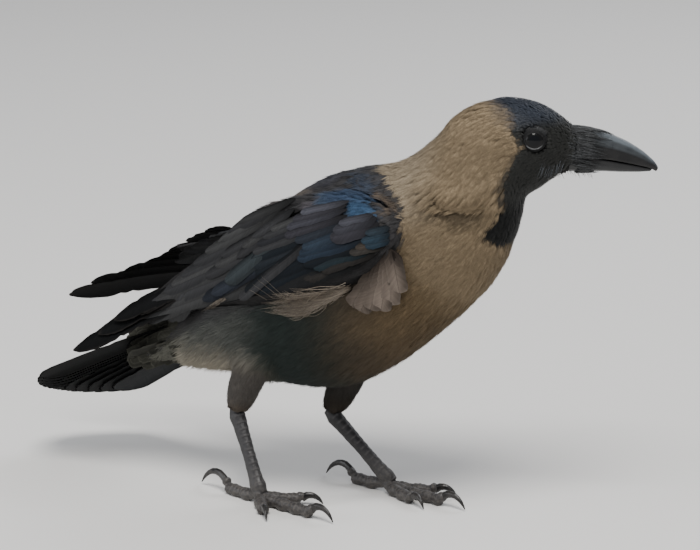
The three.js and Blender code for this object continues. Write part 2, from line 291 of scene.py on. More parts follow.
def horn_finish(name, tone, edge_tone, roughness, grain_scale, streak):
    """Bill and claws: dark horn with fine growth lines, and a faint painted highlight along the top of the
    bill.
    """
    finish = Finish(name)
    along_bill = {"Vector": finish.place(), "Rotation": (0, 0, -HEAD_TURN), "Scale": streak}
    lines = finish.noise(grain_scale, 5.0, finish.node("ShaderNodeMapping", along_bill).outputs[0], 0.6)
    cloud = finish.noise(grain_scale * 0.35, 3.0)
    worn = finish.mixed(finish.remap(cloud, 0.35, 0.7, 0, 1), tone, edge_tone)
    # the points' gloss values carry the bill's painted highlight, mixed in as a pale blue-grey
    painted_highlight = finish.attribute("gloss")
    painted_highlight = finish.math("MULTIPLY", painted_highlight, finish.remap(lines, 0.25, 0.7, 0.7, 1.15))
    finish.plug(finish.mixed(painted_highlight, worn, PAINTED_HIGHLIGHT_TONE), "Base Color")
    finish.plug(finish.remap(lines, 0.3, 0.7, roughness - 0.08, roughness + 0.12), "Roughness")
    finish.bump(lines, 0.2, 0.0002)
    finish.set(Specular_IOR_Level=0.35)
    return finish.material


def leg_finish():
    """Scaled skin of the legs: black-grey, paler on worn edges, dusty low down."""
    finish = Finish("leg_scales")
    where = finish.place()
    cells = finish.node("ShaderNodeTexVoronoi", {"Vector": where, "Scale": 900.0})
    grain = finish.noise(800, 4.0)
    height = finish.node("ShaderNodeSeparateXYZ", {0: where}).outputs[2]
    low = finish.remap(height, 0.002, 0.02, 0.55, 0.0)
    dust = finish.math("MULTIPLY", low, finish.remap(grain, 0.4, 0.7, 0.2, 1))
    ridge = finish.attribute("ridge")
    dark = finish.mixed(ridge, (0.016, 0.015, 0.016, 1), (0.062, 0.058, 0.058, 1))
    finish.plug(finish.mixed(dust, dark, (0.13, 0.115, 0.1, 1)), "Base Color")
    finish.plug(finish.remap(grain, 0.3, 0.7, 0.42, 0.62), "Roughness")
    finish.bump(finish.math("ADD", cells.outputs["Distance"], grain), 0.35, 0.0003)
    finish.set(Specular_IOR_Level=0.45)
    return finish.material


def eye_finish(name, left):
    """A wet dark eye: black pupil, very dark brown iris."""
    finish = Finish(name)
    where = finish.place()
    centre = placed(eye_middle(left))
    away = finish.node("ShaderNodeVectorMath", {0: where, 1: tuple(centre)}, operation="SUBTRACT")
    ahead = {0: away.outputs[0], 1: tuple(left * HEAD_LEFT)}
    facing = finish.node("ShaderNodeVectorMath", ahead, operation="DOT_PRODUCT")
    share = finish.math("DIVIDE", facing.outputs["Value"], EYE_RADIUS * MM)
    pupil = finish.remap(share, 0.9, 0.915, 0.0, 1.0)
    rim = finish.remap(share, 0.74, 0.8, 0.0, 1.0)
    iris = finish.mixed(rim, (0.006, 0.0065, 0.0075, 1), (0.004, 0.004, 0.004, 1))
    finish.plug(finish.mixed(pupil, iris, (0.0025, 0.003, 0.004, 1)), "Base Color")
    finish.set(Roughness=0.12, Specular_IOR_Level=0.2)
    return finish.material


def lid_finish():
    finish = Finish("eyelid_skin")
    grain = finish.noise(1500, 4.0)
    pale = finish.attribute("gloss")
    # the pale mix: a painted highlight on the inner edge of the lower lid, and the ring's slightly paler
    # outer edge
    tone = finish.mixed(pale, (0.011, 0.011, 0.0112, 1), (0.26, 0.265, 0.27, 1))
    finish.plug(finish.scaled(tone, finish.remap(grain, 0.3, 0.7, 0.6, 1.3)), "Base Color")
    finish.bump(grain, 0.6, 0.0002)
    finish.set(Roughness=0.6, Specular_IOR_Level=0.08)
    return finish.material


def bristle_finish():
    finish = Finish("bristles")
    grain = finish.noise(2500, 2.0)
    tone = finish.attribute("plumage", "Color")
    finish.plug(finish.scaled(tone, finish.remap(grain, 0.3, 0.7, 0.7, 1.3)), "Base Color")
    finish.set(Roughness=0.45, Specular_IOR_Level=0.35)
    return finish.material


# ---- small tools for shapes ---------------------------------------------------------------
def unit(vectors):
    vectors = np.asarray(vectors, float)
    return vectors / np.maximum(np.linalg.norm(vectors, axis=-1, keepdims=True), 1e-9)


def distance(points, others):
    return np.linalg.norm(points - others, axis=1)


def ease(low, high, x):
    share = np.clip((np.asarray(x, float) - low) / (high - low), 0, 1)
    return share * share * (3 - 2 * share)


def ripple(points, size, seed=0.0):
    """A smooth wander between -1 and 1 over a few times `size` millimetres."""
    x, y, z = np.asarray(points).T / size
    return (
        np.sin(x * 1.7 + y * 0.9 + seed)
        + np.sin(y * 2.1 - z * 1.3 + seed * 1.7 + 1.0)
        + np.sin(z * 1.9 + x * 1.1 - seed * 0.6 + 2.0)
    ) / 3


def smooth_path(points, count):
    """Evenly spaced points on a smooth curve through the given ones."""
    points = np.asarray(points, float)
    ends = np.vstack([2 * points[0] - points[1], points, 2 * points[-1] - points[-2]])
    pieces = []
    for a, b, c, d in zip(ends, ends[1:], ends[2:], ends[3:]):
        t = np.linspace(0, 1, 24, endpoint=False)[:, None]
        curve = 2 * b + (c - a) * t + (2 * a - 5 * b + 4 * c - d) * t**2 + (3 * b - a - 3 * c + d) * t**3
        pieces.append(curve / 2)
    dense = np.vstack([*pieces, points[-1:]])
    run = np.concatenate([[0], np.cumsum(np.linalg.norm(np.diff(dense, axis=0), axis=1))])
    even = np.linspace(0, run[-1], count)
    return np.stack([np.interp(even, run, dense[:, i]) for i in range(3)], 1), even


def make_mesh_piece(
    name, points, triangles, material, slot, colours=None, gloss=None, uvs=None, shading=None
):
    """A mesh piece of triangles, with its points' plumage colours, gloss and shading directions."""
    mesh = bpy.data.meshes.new(name)
    triangles = np.ascontiguousarray(triangles, np.int32)
    mesh.vertices.add(len(points))
    mesh.vertices.foreach_set("co", placed(points).astype(np.float32).ravel())
    mesh.loops.add(triangles.size)
    mesh.loops.foreach_set("vertex_index", triangles.ravel())
    mesh.polygons.add(len(triangles))
    mesh.polygons.foreach_set("loop_start", np.arange(0, triangles.size, 3, dtype=np.int32))
    mesh.update(calc_edges=True)
    mesh.polygons.foreach_set("use_smooth", np.ones(len(triangles), bool))
    carry_colours(mesh, colours, gloss)
    for label, uv in (uvs or {}).items():
        layer = mesh.uv_layers.new(name=label)
        if len(uv) != triangles.size:
            uv = uv[triangles.ravel()]
        layer.uv.foreach_set("vector", uv.astype(np.float32).ravel())
    if shading is not None:
        mesh.normals_split_custom_set_from_vertices(shading.astype(np.float32))
    mesh.materials.append(material)
    piece = bpy.data.objects.new(name, mesh)
    bpy.context.collection.objects.link(piece)
    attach(piece, BODY)
    return piece


def carry_colours(mesh, colours, gloss):
    if colours is not None:
        layer = mesh.attributes.new("plumage", "FLOAT_COLOR", "POINT")
        opaque = np.concatenate([colours, np.ones((len(colours), 1))], 1)
        layer.data.foreach_set("color", opaque.astype(np.float32).ravel())
    if gloss is not None:
        layer = mesh.attributes.new("gloss", "FLOAT", "POINT")
        layer.data.foreach_set("value", np.asarray(gloss, np.float32).ravel())


def vertex_values(piece, kind):
    flat = np.zeros(len(piece.data.vertices) * 3)
    piece.data.vertices.foreach_get(kind, flat)
    return flat.reshape(-1, 3)


def points_of(piece):
    return unplaced(vertex_values(piece, "co"))


def normals_of(piece):
    return vertex_values(piece, "normal")


def move_points(piece, points):
    piece.data.vertices.foreach_set("co", placed(points).ravel())
    piece.data.update()


def shade_smooth(piece):
    piece.data.polygons.foreach_set("use_smooth", np.ones(len(piece.data.polygons), bool))


def apply_modifier(piece, kind, **settings):
    deselect()
    piece.select_set(True)
    bpy.context.view_layer.objects.active = piece
    modifier = piece.modifiers.new(kind.title(), kind)
    for key, value in settings.items():
        setattr(modifier, key, value)
    bpy.ops.object.modifier_apply(modifier=modifier.name)


def joined_copy(nodes, name, swell=0.0):
    """Copies of the named solids as one merged mesh, each swollen a little so that neighbours meet."""
    deselect()
    copies = []
    for node in nodes:
        twin = bpy.data.objects.new(name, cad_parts[node].data.copy())
        bpy.context.collection.objects.link(twin)
        twin.select_set(True)
        copies.append(twin)
    bpy.context.view_layer.objects.active = copies[0]
    if len(copies) > 1:
        bpy.ops.object.join()
    piece = copies[0]
    piece.name = name
    bpy.ops.object.mode_set(mode="EDIT")
    bpy.ops.mesh.select_all(action="SELECT")
    bpy.ops.mesh.remove_doubles(threshold=0.000002)
    bpy.ops.object.mode_set(mode="OBJECT")
    piece.data.materials.clear()
    if swell:
        apply_modifier(piece, "DISPLACE", strength=swell * MM, mid_level=0.0)
    return piece


def rounded(piece, voxel, smoothing):
    """The piece as one even, smooth surface."""
    apply_modifier(piece, "REMESH", mode="VOXEL", voxel_size=voxel * MM)
    apply_modifier(piece, "SMOOTH", factor=0.5, iterations=smoothing)
    shade_smooth(piece)


def tree_of(points, triangles):
    return BVHTree.FromPolygons([Vector(p) for p in points], [tuple(t) for t in triangles])


def solid_tree(nodes):
    """A search tree over the named solids, in the bird's own axes."""
    points, faces, start = [], [], 0
    for node in nodes:
        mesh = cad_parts[node].data
        points.append(points_of(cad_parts[node]))
        faces += [tuple(start + v for v in polygon.vertices) for polygon in mesh.polygons]
        start += len(mesh.vertices)
    return tree_of(np.vstack(points), faces)


def smooth_shell(nodes):
    """A search tree over the named solids run together into one smooth surface."""
    piece = joined_copy(nodes, "shell", swell=0.35)
    rounded(piece, 1.0, 8)
    points, _, triangles = mesh_arrays(piece)
    bpy.data.objects.remove(piece)
    return tree_of(points, triangles)


def nearest(tree, points):
    """The nearest surface points and their normals."""
    found = [tree.find_nearest(Vector(p))[:2] for p in points]
    return np.array([f[0] for f in found]), np.array([f[1] for f in found])


# ---- the line of the body and the lie of the coat -----------------------------------------
SPINE, SPINE_RUN = smooth_path(
    [
        on_head(42, 0, 186),
        on_head(24, 0, 187),
        on_head(8, 0, 188),
        (80, 9, 181),
        (75, 6, 170),
        (64, 3, 156),
        (50, 1, 143),
        (32, 0, 129),
        (10, 0, 115.5),
        (-13, 0, 104.5),
        (-36, 0, 96),
        (-58, 0, 89),
        (-80, 0, 80),
        (-101, 0, 70),
        (-125, 2, 58),
    ],
    150,
)
SPINE_AIM = unit(np.gradient(SPINE, axis=0))
SPINE_BLEND = 9.0  # how far, in millimetres, the line's bends are smoothed over


class Along:
    """Where points sit along and round the line of the body, which runs from bill to tail."""

    def __init__(self, points):
        points = np.asarray(points, float)
        gap = ((points[:, None, :] - SPINE[None]) ** 2).sum(2)
        share = np.exp(-(gap - gap.min(1, keepdims=True)) / (2 * SPINE_BLEND**2))
        share /= share.sum(1, keepdims=True)
        self.run = share @ SPINE_RUN
        self.aim = unit(share @ SPINE_AIM)
        self.left = unit(np.cross(self.aim, UP))
        self.back = np.cross(self.left, self.aim)
        away = points - share @ SPINE
        self.angle = np.arctan2((away * self.left).sum(1), (away * self.back).sum(1))


def head_place(points):
    """Forward reach, reach to the left and height on the head's own axes."""
    away = np.asarray(points) - HEAD_AT
    return away @ HEAD_FORWARD, away @ HEAD_LEFT, np.asarray(points)[:, 2]


THIGHS = {
    "right": (np.array([-37.0, -20, 84]), np.array([-55.5, -18.5, 44])),
    "left": (np.array([-3.0, 18, 80]), np.array([-20.5, 19.5, 38])),
}


def thigh_share(points):
    """How much a point belongs to a thigh, and which way that thigh's feathers run."""
    share = np.zeros(len(points))
    aim = np.zeros((len(points), 3))
    for hip, hock in THIGHS.values():
        line = unit(hock - hip)
        reach = (points - hip) @ line
        off = np.linalg.norm(points - hip - reach[:, None] * line, axis=1)
        mine = ease(13.5, 9.5, off) * ease(88, 70, points[:, 2]) * ease(-8, 4, reach)
        aim += mine[:, None] * line
        share = np.maximum(share, mine)
    return share, aim


# ---- markings -----------------------------------------------------------------------------
TONES = {
    "nape": (0.178, 0.134, 0.083),
    "pale nape": (0.222, 0.179, 0.124),
    "sand": (0.106, 0.0745, 0.041),
    "umber": (0.056, 0.04, 0.026),
    "slate": (0.0125, 0.0178, 0.0158),
    "scaly": (0.036, 0.0355, 0.029),
    "flank": (0.062, 0.064, 0.058),
    "wing": (0.03, 0.029, 0.03),
    "mantle": (0.036, 0.04, 0.052),
    "ash": (0.235, 0.212, 0.165),
    "shank": (0.064, 0.058, 0.052),
    "hood": (0.0036, 0.004, 0.004),
    "face": (0.02, 0.0205, 0.019),
    "crown": (0.021, 0.026, 0.037),
    "shoulder": (0.062, 0.058, 0.055),
}
TONES = {name: np.array(tone) for name, tone in TONES.items()}

# the edge of the black hood and bib on the side of the head: height, forward reach
HOOD_EDGE = [
    (143, 1), (144.5, -3), (147, -11), (150, -15), (155, -13), (161, -9), (164, -6),
    (170, -7), (176, -6.5), (180, -4), (184.5, -1.5), (191.5, 2), (196, -0.5),
    (198.5, -4), (201, -1.5), (205, -2.5), (208, -5.5), (210.5, -9), (212.5, -14),
    (214.5, -22),
]
# the front edge of the dark mantle and shoulder against the neck: height, x
MANTLE_EDGE = [(136, 38), (148.5, 42.5), (157, 46.5), (165.5, 46), (170, 40.5), (174, 32), (176, 22)]


# the soft feathers of the near wing, by places in the view: below this edge long vanes take over
SOFT_EDGE = [(222, 231), (240, 222), (262, 213), (285, 212), (300, 209), (318, 205), (334, 211)]
SOFT_EDGE += [(350, 213), (372, 220), (386, 224), (390, 240), (400, 246)]
# the line along which the shoulder's feathers end
SLIT_FROM, SLIT_TO = np.array([364.0, 187.0]), np.array([390.0, 210.0])
# patches of colour: middle, half length and half height, turn in degrees, tone
WING_SPOTS = [
    ((320, 184), (22, 7), -25, (0.075, 0.064, 0.055)),
    ((283, 205), (16, 5), -32, (0.054, 0.047, 0.046)),
    ((345, 176), (22, 6), -12, (0.03, 0.03, 0.036)),
    ((383, 182), (13, 10), 35, (0.028, 0.036, 0.052)),
    ((398, 200), (10, 14), 10, (0.075, 0.058, 0.044)),
    ((326, 203), (14, 5), -30, (0.064, 0.058, 0.066)),
    ((340, 199), (14, 8), -25, (0.034, 0.05, 0.078)),
    ((362, 199), (22, 11), 12, (0.026, 0.042, 0.075)),
    ((374, 213), (15, 10), 25, (0.026, 0.056, 0.104)),
    ((350, 208), (12, 4), -20, (0.04, 0.047, 0.068)),
    ((382, 222), (8, 4), 0, (0.052, 0.045, 0.04)),
]
# dark lines painted as shade where rows of soft feathers overlap: middle, half length and half height, turn
# in degrees
WING_PAINTED_SHADE = [
    ((366, 191), (7, 2.2), 38),
    ((381, 203), (8, 2.2), 45),
    ((345, 206), (12, 2.0), -25),
    ((300, 206), (16, 2.0), -25),
]


def wing_share(points):
    """How much each point lies on a folded wing."""
    points = np.asarray(points, float)
    gap = np.min([distance(nearest(shell, points)[0], points) for shell in wing_shells.values()], 0)
    return ease(3.6, 2.9, gap) * ease(50, 44, points[:, 0])


def near_wing_place(points):
    """Where points are in the camera's view, those of the far wing first carried over to the near one."""
    x, y, z = np.asarray(points, float).T
    far = y > 0
    x_near = np.where(far & (x < 0), x / LEFT_STRETCH, x)
    z_near = np.where(far, z - LEFT_RAISE * np.maximum(0, -x_near), z)
    away = np.stack([x_near, -np.abs(y), z_near], 1) - VIEW_FROM
    reach = LENS / SENSOR * VIEW_WIDE / -(away @ VIEW_BACK)
    across, up = away @ VIEW_RIGHT * reach, away @ VIEW_UP * reach
    return np.stack([VIEW_WIDE / 2 + across, VIEW_HIGH / 2 - up], 1)


def spot_share(place, middle, half, turn):
    away = place - middle
    turn = math.radians(turn)
    along = away[:, 0] * math.cos(turn) + away[:, 1] * math.sin(turn)
    across = away[:, 1] * math.cos(turn) - away[:, 0] * math.sin(turn)
    return ease(1.25, 0.7, np.hypot(along / half[0], across / half[1]))


def wing_spots(points):
    """The colour of a wing's soft feathers: a brown-black ground with patches of brown, purple and blue, and
    painted shade along the lines where rows overlap.
    """
    place = near_wing_place(points) + 2.2 * np.stack([ripple(points, 2.5, 1.0), ripple(points, 2.5, 2.0)], 1)
    colour = np.tile(TONES["wing"], (len(points), 1))
    for middle, half, turn, tone in WING_SPOTS:
        share = spot_share(place, middle, half, turn)
        colour += share[:, None] * (tone - colour)
    for middle, half, turn in WING_PAINTED_SHADE:
        colour *= (1 - 0.75 * spot_share(place, middle, half, turn))[:, None]
    return colour


def region_shares(points):
    """How much each point belongs to each region of the plumage. The shares of a point sum to one."""
    points = np.asarray(points, float)
    along = Along(points)
    forward, _, height = head_place(points)
    x, _, z = points.T
    ragged = 1.3 * ripple(points, 2.2) + 0.9 * ripple(points, 0.9, 3.0)
    edge = np.interp(height, *zip(*HOOD_EDGE))
    soft = 1.6 + 3.0 * ease(196, 206, height)
    hood = ease(-1, 1, (forward - edge + ragged) / soft) * ease(143, 146, height)
    face = hood * ease(160, 168, height)
    round_share = np.abs(along.angle) / math.pi  # 0 on the back, 1 on the belly's midline
    neck_side = (x - 44) * 0.74 + (z - 145) * 0.67 + 2.5 * ripple(points, 5.0, 1.0)
    mantle_edge = np.interp(z, *zip(*MANTLE_EDGE)) + 1.4 * ripple(points, 3.0, 4.0)
    mantle = ease(1.2, -1.2, x - mantle_edge) * ease(0.47, 0.38, round_share)
    shoulder = mantle * ease(20, 30, x) * ease(0.16, 0.26, round_share)
    thigh, _ = thigh_share(points)
    pale = ease(0.33, 0.5, round_share)
    breast = ease(8, 52, x - 0.1 * (z - 120) + 5 * ripple(points, 9.0, 2.0))
    vent = ease(-18, -50, x + 4 * ripple(points, 6.0, 7.0)) * ease(-86, -72, x) * pale
    wing = wing_share(points) * (1 - hood)
    shares = {
        "hood": hood - face,
        "face": face,
        "mantle": (1 - hood) * (mantle - shoulder),
        "shoulder": (1 - hood) * shoulder,
    }
    rest = (1 - hood) * (1 - mantle)
    shares["thigh"] = rest * thigh
    shares["vent"] = rest * (1 - thigh) * vent
    under = ease(-64, -76, x)
    shares["undertail"] = rest * (1 - thigh) * (1 - vent) * under
    left_over = rest * (1 - thigh) * (1 - vent) * (1 - under)
    neck = ease(-10, 8, neck_side)
    shares["neck"] = left_over * neck
    shares["breast"] = left_over * (1 - neck) * breast
    shares["belly"] = left_over * (1 - neck) * (1 - breast)
    shares = {name: share * (1 - wing) for name, share in shares.items()}
    shares["wing"] = wing
    return shares, along


REGION_TONES = {
    "hood": "hood",
    "face": "face",
    "mantle": "mantle",
    "shoulder": "shoulder",
    "thigh": "shank",
    "vent": "ash",
    "undertail": "scaly",
    "wing": "wing",
    "neck": "nape",
    "breast": "sand",
    "belly": "slate",
}
REGION_GLOSS = {"hood": 0.75, "face": 0.8, "mantle": 0.35, "shoulder": 0.55, "undertail": 0.3, "wing": 0.5}


def markings(points, shares=None):
    """The plumage colour and gloss of points, the same for the skin and for the coat over it, with painted
    shade on the left thigh and, in part, low on the breast.
    """
    if shares is None:
        shares, _ = region_shares(points)
    colour = np.zeros((len(points), 3))
    gloss = np.zeros(len(points))
    for region, share in shares.items():
        colour += share[:, None] * TONES[REGION_TONES[region]]
        gloss += share * REGION_GLOSS.get(region, 0.12)
    pale_nape = shares["neck"] * ease(66, 44, points[:, 0]) * ease(150, 162, points[:, 2])
    colour += pale_nape[:, None] * (TONES["pale nape"] - TONES["nape"])
    # browner and darker low on the breast, towards the belly: partly the plumage's own colour, partly
    # painted shade on the underside
    low = ease(120, 78, points[:, 2])
    brown = shares["breast"] * low * 0.85
    colour += brown[:, None] * (TONES["umber"] - TONES["sand"]) * 0.8
    brown_flank = shares["belly"] * ease(-10, 30, points[:, 0])
    colour += brown_flank[:, None] * (TONES["umber"] - TONES["slate"]) * 0.55
    crown = (shares["hood"] + shares["face"]) * ease(197, 205, points[:, 2])
    colour += crown[:, None] * (TONES["crown"] - TONES["face"])
    brown_shin = shares["thigh"] * ease(60, 48, points[:, 2]) * 0.6
    colour += brown_shin[:, None] * (TONES["umber"] - TONES["shank"])
    # painted shade: the left thigh, on the side away from the lamps, is darker
    colour *= (1 - 0.6 * shares["thigh"] * (points[:, 1] > 0))[:, None]
    high_flank = shares["vent"] * ease(70, 90, points[:, 2])
    colour += high_flank[:, None] * (TONES["flank"] - TONES["ash"])
    patched = shares["wing"] + shares["mantle"] + shares["shoulder"] > 0.01
    spots = wing_spots(points[patched])
    for region in ("wing", "mantle", "shoulder"):
        colour[patched] += shares[region][patched, None] * (spots - TONES[REGION_TONES[region]])
    light = 1 + 0.1 * ripple(points, 14.0, 5.0) + (0.11 - 0.06 * shares["neck"]) * ripple(points, 3.0, 6.0)
    return colour * light[:, None], gloss


# ---- skin ---------------------------------------------------------------------------------
FLESH = ["head", "neck", "trunk", "rump", "thigh_left", "thigh_right"]
WING_PARTS = ("coverts", "secondaries", "primaries")
WING_SHELLS = [f"wing_{side}_{part}" for side in ("left", "right") for part in ("coverts", "secondaries")]
# how deep the skin lies under the tips of the coat, in millimetres
COAT_DEPTH = {
    "hood": 1.6,
    "face": 1.0,
    "mantle": 2.2,
    "shoulder": 2.0,
    "thigh": 1.8,
    "vent": 3.6,
    "undertail": 2.2,
    "neck": 2.2,
    "breast": 2.3,
    "belly": 2.8,
    "wing": 2.3,
}


def blended(table, shares):
    return sum(share * table[region] for region, share in shares.items())


def unwrap(along):
    """Each point's place on the body's skin laid flat: along the body, and round it from the back."""
    across = 0.04 + 0.9 * along.run / SPINE_RUN[-1]
    return np.stack([across, 0.5 + 0.46 * along.angle / math.pi], 1)


def make_skin():
    piece = joined_copy(FLESH + WING_SHELLS, "skin", swell=0.35)
    rounded(piece, 1.4, 12)
    points, normals = points_of(piece), normals_of(piece)
    shares, _ = region_shares(points)
    depth = blended(COAT_DEPTH, shares)
    depth = depth + 2.4 * under_collar_share(points)
    depth = np.where(eye_distance(points) < EYE_RADIUS + 1.2, 0.5, depth)
    move_points(piece, points - normals * depth[:, None])
    apply_modifier(piece, "SMOOTH", factor=0.5, iterations=3)
    colours, gloss = markings(points_of(piece))
    carry_colours(piece.data, colours, gloss)
    piece.data.materials.append(skin_finish())
    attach(piece, BODY)
    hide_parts(*FLESH, *WING_SHELLS)
    return piece


# ---- coat ---------------------------------------------------------------------------------
# length and width of a feather, spacing of the roots, how far the tips stand off, raggedness
FEATHERS = {
    "face": (3.6, 1.5, 0.85, 1.0, 0.25),
    "hood": (6.5, 2.5, 1.2, 1.7, 0.4),
    "neck": (10.0, 2.5, 1.15, 2.2, 0.45),
    "breast": (13.0, 3.1, 1.35, 2.8, 0.5),
    "belly": (16.0, 3.6, 1.5, 3.3, 0.7),
    "vent": (19.0, 3.6, 1.4, 4.6, 1.1),
    "undertail": (13.0, 5.0, 2.0, 2.6, 0.3),
    "mantle": (16.0, 6.0, 2.1, 2.4, 0.3),
    "shoulder": (10.0, 4.5, 1.7, 2.2, 0.35),
    "thigh": (9.0, 2.6, 1.2, 2.0, 0.5),
    "wing": (10.0, 2.6, 1.35, 2.5, 0.3),
}
FACE_END = 32.0  # how far forward on the head the feathers reach, where the bristles take over
TRIES = 300000  # places tried for a root
BLADES = 6
BLADE_POINTS = 7
# corners of one blade: 0 1 2 root left, right, ridge; 3 4 5 middle; 6 tip
BLADE_FACES = np.array(
    [
        (0, 2, 1),
        (0, 1, 4), (0, 4, 3),
        (1, 2, 5), (1, 5, 4),
        (2, 0, 3), (2, 3, 5),
        (3, 4, 6), (4, 5, 6), (5, 3, 6),
    ]
)  # fmt: skip


def mesh_arrays(piece):
    piece.data.calc_loop_triangles()
    triangles = np.zeros(len(piece.data.loop_triangles) * 3, np.int32)
    piece.data.loop_triangles.foreach_get("vertices", triangles)
    return points_of(piece), normals_of(piece), triangles.reshape(-1, 3)


def scatter(points, normals, triangles, spacing_of, tries):
    """Roots spread over a surface no closer to each other than the spacing there."""
    a, b, c = (points[triangles[:, i]] for i in range(3))
    area = np.linalg.norm(np.cross(b - a, c - a), axis=1) / 2
    pick = rng.choice(len(triangles), tries, p=area / area.sum())
    u, v = rng.random((2, tries))
    flip = u + v > 1
    u[flip], v[flip] = 1 - u[flip], 1 - v[flip]
    roots = a[pick] + u[:, None] * (b - a)[pick] + v[:, None] * (c - a)[pick]
    normal = unit(normals[triangles[pick]].mean(1))
    spacing = spacing_of(roots)
    cell = spacing[spacing > 0].max()
    grid, kept = {}, []
    cells = np.floor(roots / cell).astype(int)
    for i in np.flatnonzero(spacing > 0):
        x, y, z = cells[i]
        root, limit = roots[i], spacing[i] ** 2
        near = [
            j
            for dx in (-1, 0, 1)
            for dy in (-1, 0, 1)
            for dz in (-1, 0, 1)
            for j in grid.get((x + dx, y + dy, z + dz), ())
        ]
        if near and ((roots[near] - root) ** 2).sum(1).min() < limit:
            continue
        grid.setdefault((x, y, z), []).append(i)
        kept.append(i)
    return roots[kept], normal[kept]


def tufts(
    roots, normals, aims, lengths, widths, stand, ragged, rim, colours, gloss, unwrapped, surface
):
    """Feathers as fans of closed, pointed blades that follow the surface along the lie of the coat."""
    count = len(roots)
    half = lengths[:, None] * 0.5
    middle, middle_normal = nearest(surface, roots + aims * half)
    second_aim = unit(aims - (aims * middle_normal).sum(1, keepdims=True) * middle_normal)
    tip, tip_normal = nearest(surface, middle + second_aim * half)
    rise = stand[:, None]
    stations = [
        (roots - 0.25 * normals, normals, aims),
        (middle + 0.62 * rise * middle_normal, middle_normal, second_aim),
        (tip + rise * tip_normal, tip_normal, second_aim),
    ]
    place = np.linspace(-1, 1, BLADES)
    out_points = np.zeros((count, BLADES, BLADE_POINTS, 3))
    tone_and_painted_shade = np.ones((count, BLADES, BLADE_POINTS))
    shading = np.zeros_like(out_points)
    for k, across in enumerate(place):
        drift = rng.normal(0, 1, (count, 4)) * ragged[:, None]
        sides = [unit(np.cross(normal, aim)) for _, normal, aim in stations]
        half_blade = widths[:, None] / BLADES * 0.62
        (root_at, root_up, _), (mid_at, mid_up, _), (tip_at, tip_up, tip_aim) = stations
        root = root_at + sides[0] * across * widths[:, None] * 0.16
        mid = mid_at + sides[1] * widths[:, None] * (across * 0.42 + 0.05 * drift[:, :1])
        mid = mid - mid_up * (0.12 * rise * across**2)
        short = lengths[:, None] * (0.2 * across**2 + 0.07 * np.abs(drift[:, 1:2]))
        end = tip_at - tip_aim * short + sides[2] * widths[:, None] * (across * 0.46 + 0.1 * drift[:, 2:3])
        end = end + tip_up * (0.18 * drift[:, 3:4] * rise - 0.25 * rise * across**2)
        thick = half_blade * 0.25
        corners = out_points[:, k]
        corners[:, 0] = root - sides[0] * half_blade * 0.6
        corners[:, 1] = root + sides[0] * half_blade * 0.6
        corners[:, 2] = root + root_up * thick
        corners[:, 3] = mid - sides[1] * half_blade
        corners[:, 4] = mid + sides[1] * half_blade
        corners[:, 5] = mid + mid_up * thick
        corners[:, 6] = end
        lean = 0.3 * across + 0.1 * drift[:, 2:3]
        shading[:, k, :3] = unit(root_up + lean * sides[0])[:, None]
        shading[:, k, 3:6] = unit(mid_up + lean * sides[1])[:, None]
        shading[:, k, 6] = unit(tip_up + lean * sides[2] + 0.15 * tip_aim)
        # each blade's tone: a random tint, darkened at the root as painted shade under the feathers lying
        # over it, and a little lighter at the tip as painted light
        tone_and_painted_shade[:, k] = (1 + 0.07 * rng.normal(0, 1, (count, 1))) * np.array([0.88] * 3 + [0.98] * 3 + [1.04])
        tone_and_painted_shade[:, k, 6] *= rim
    tone_and_painted_shade *= (1 + 0.04 * rng.normal(0, 1, count))[:, None, None]
    points = out_points.reshape(-1, 3)
    starts = np.arange(count * BLADES)[:, None, None] * BLADE_POINTS
    faces = (BLADE_FACES[None] + starts).reshape(-1, 3)
    tone = colours[:, None, None, :] * tone_and_painted_shade[..., None]
    shine = np.broadcast_to(gloss[:, None, None], tone_and_painted_shade.shape)
    patch = 0.0015 * np.array([(-1, -1), (1, -1), (0, -1), (-1, 0), (1, 0), (0, 0), (0, 1)])
    spread = np.linspace(-0.6, 0.6, BLADES)[:, None, None] * np.array([0.0015, 0])
    bake = unwrapped[:, None, None, :] + patch[None, None] * np.array([0.3, 1]) + spread[None]
    return {
        "points": points,
        "triangles": faces,
        "colours": np.clip(tone, 0, 1).reshape(-1, 3),
        "gloss": shine.reshape(-1),
        "uvs": {"OFBake": bake.reshape(-1, 2)},
        "shading": shading.reshape(-1, 3),
    }


def lie_of_coat(points, normals, along):
    """The way feathers point: from the bill to the tail, down the thighs, and a little down the flanks."""
    share, thigh_aim = thigh_share(points)
    sag = 0.3 * ease(0.3, 0.55, np.abs(along.angle) / math.pi) * ease(60, 20, points[:, 0])
    aim = along.aim - sag[:, None] * UP
    aim = aim * (1 - share[:, None]) + 1.4 * thigh_aim
    aim = aim + 0.12 * rng.normal(0, 1, aim.shape)
    return unit(aim - (aim * normals).sum(1, keepdims=True) * normals)


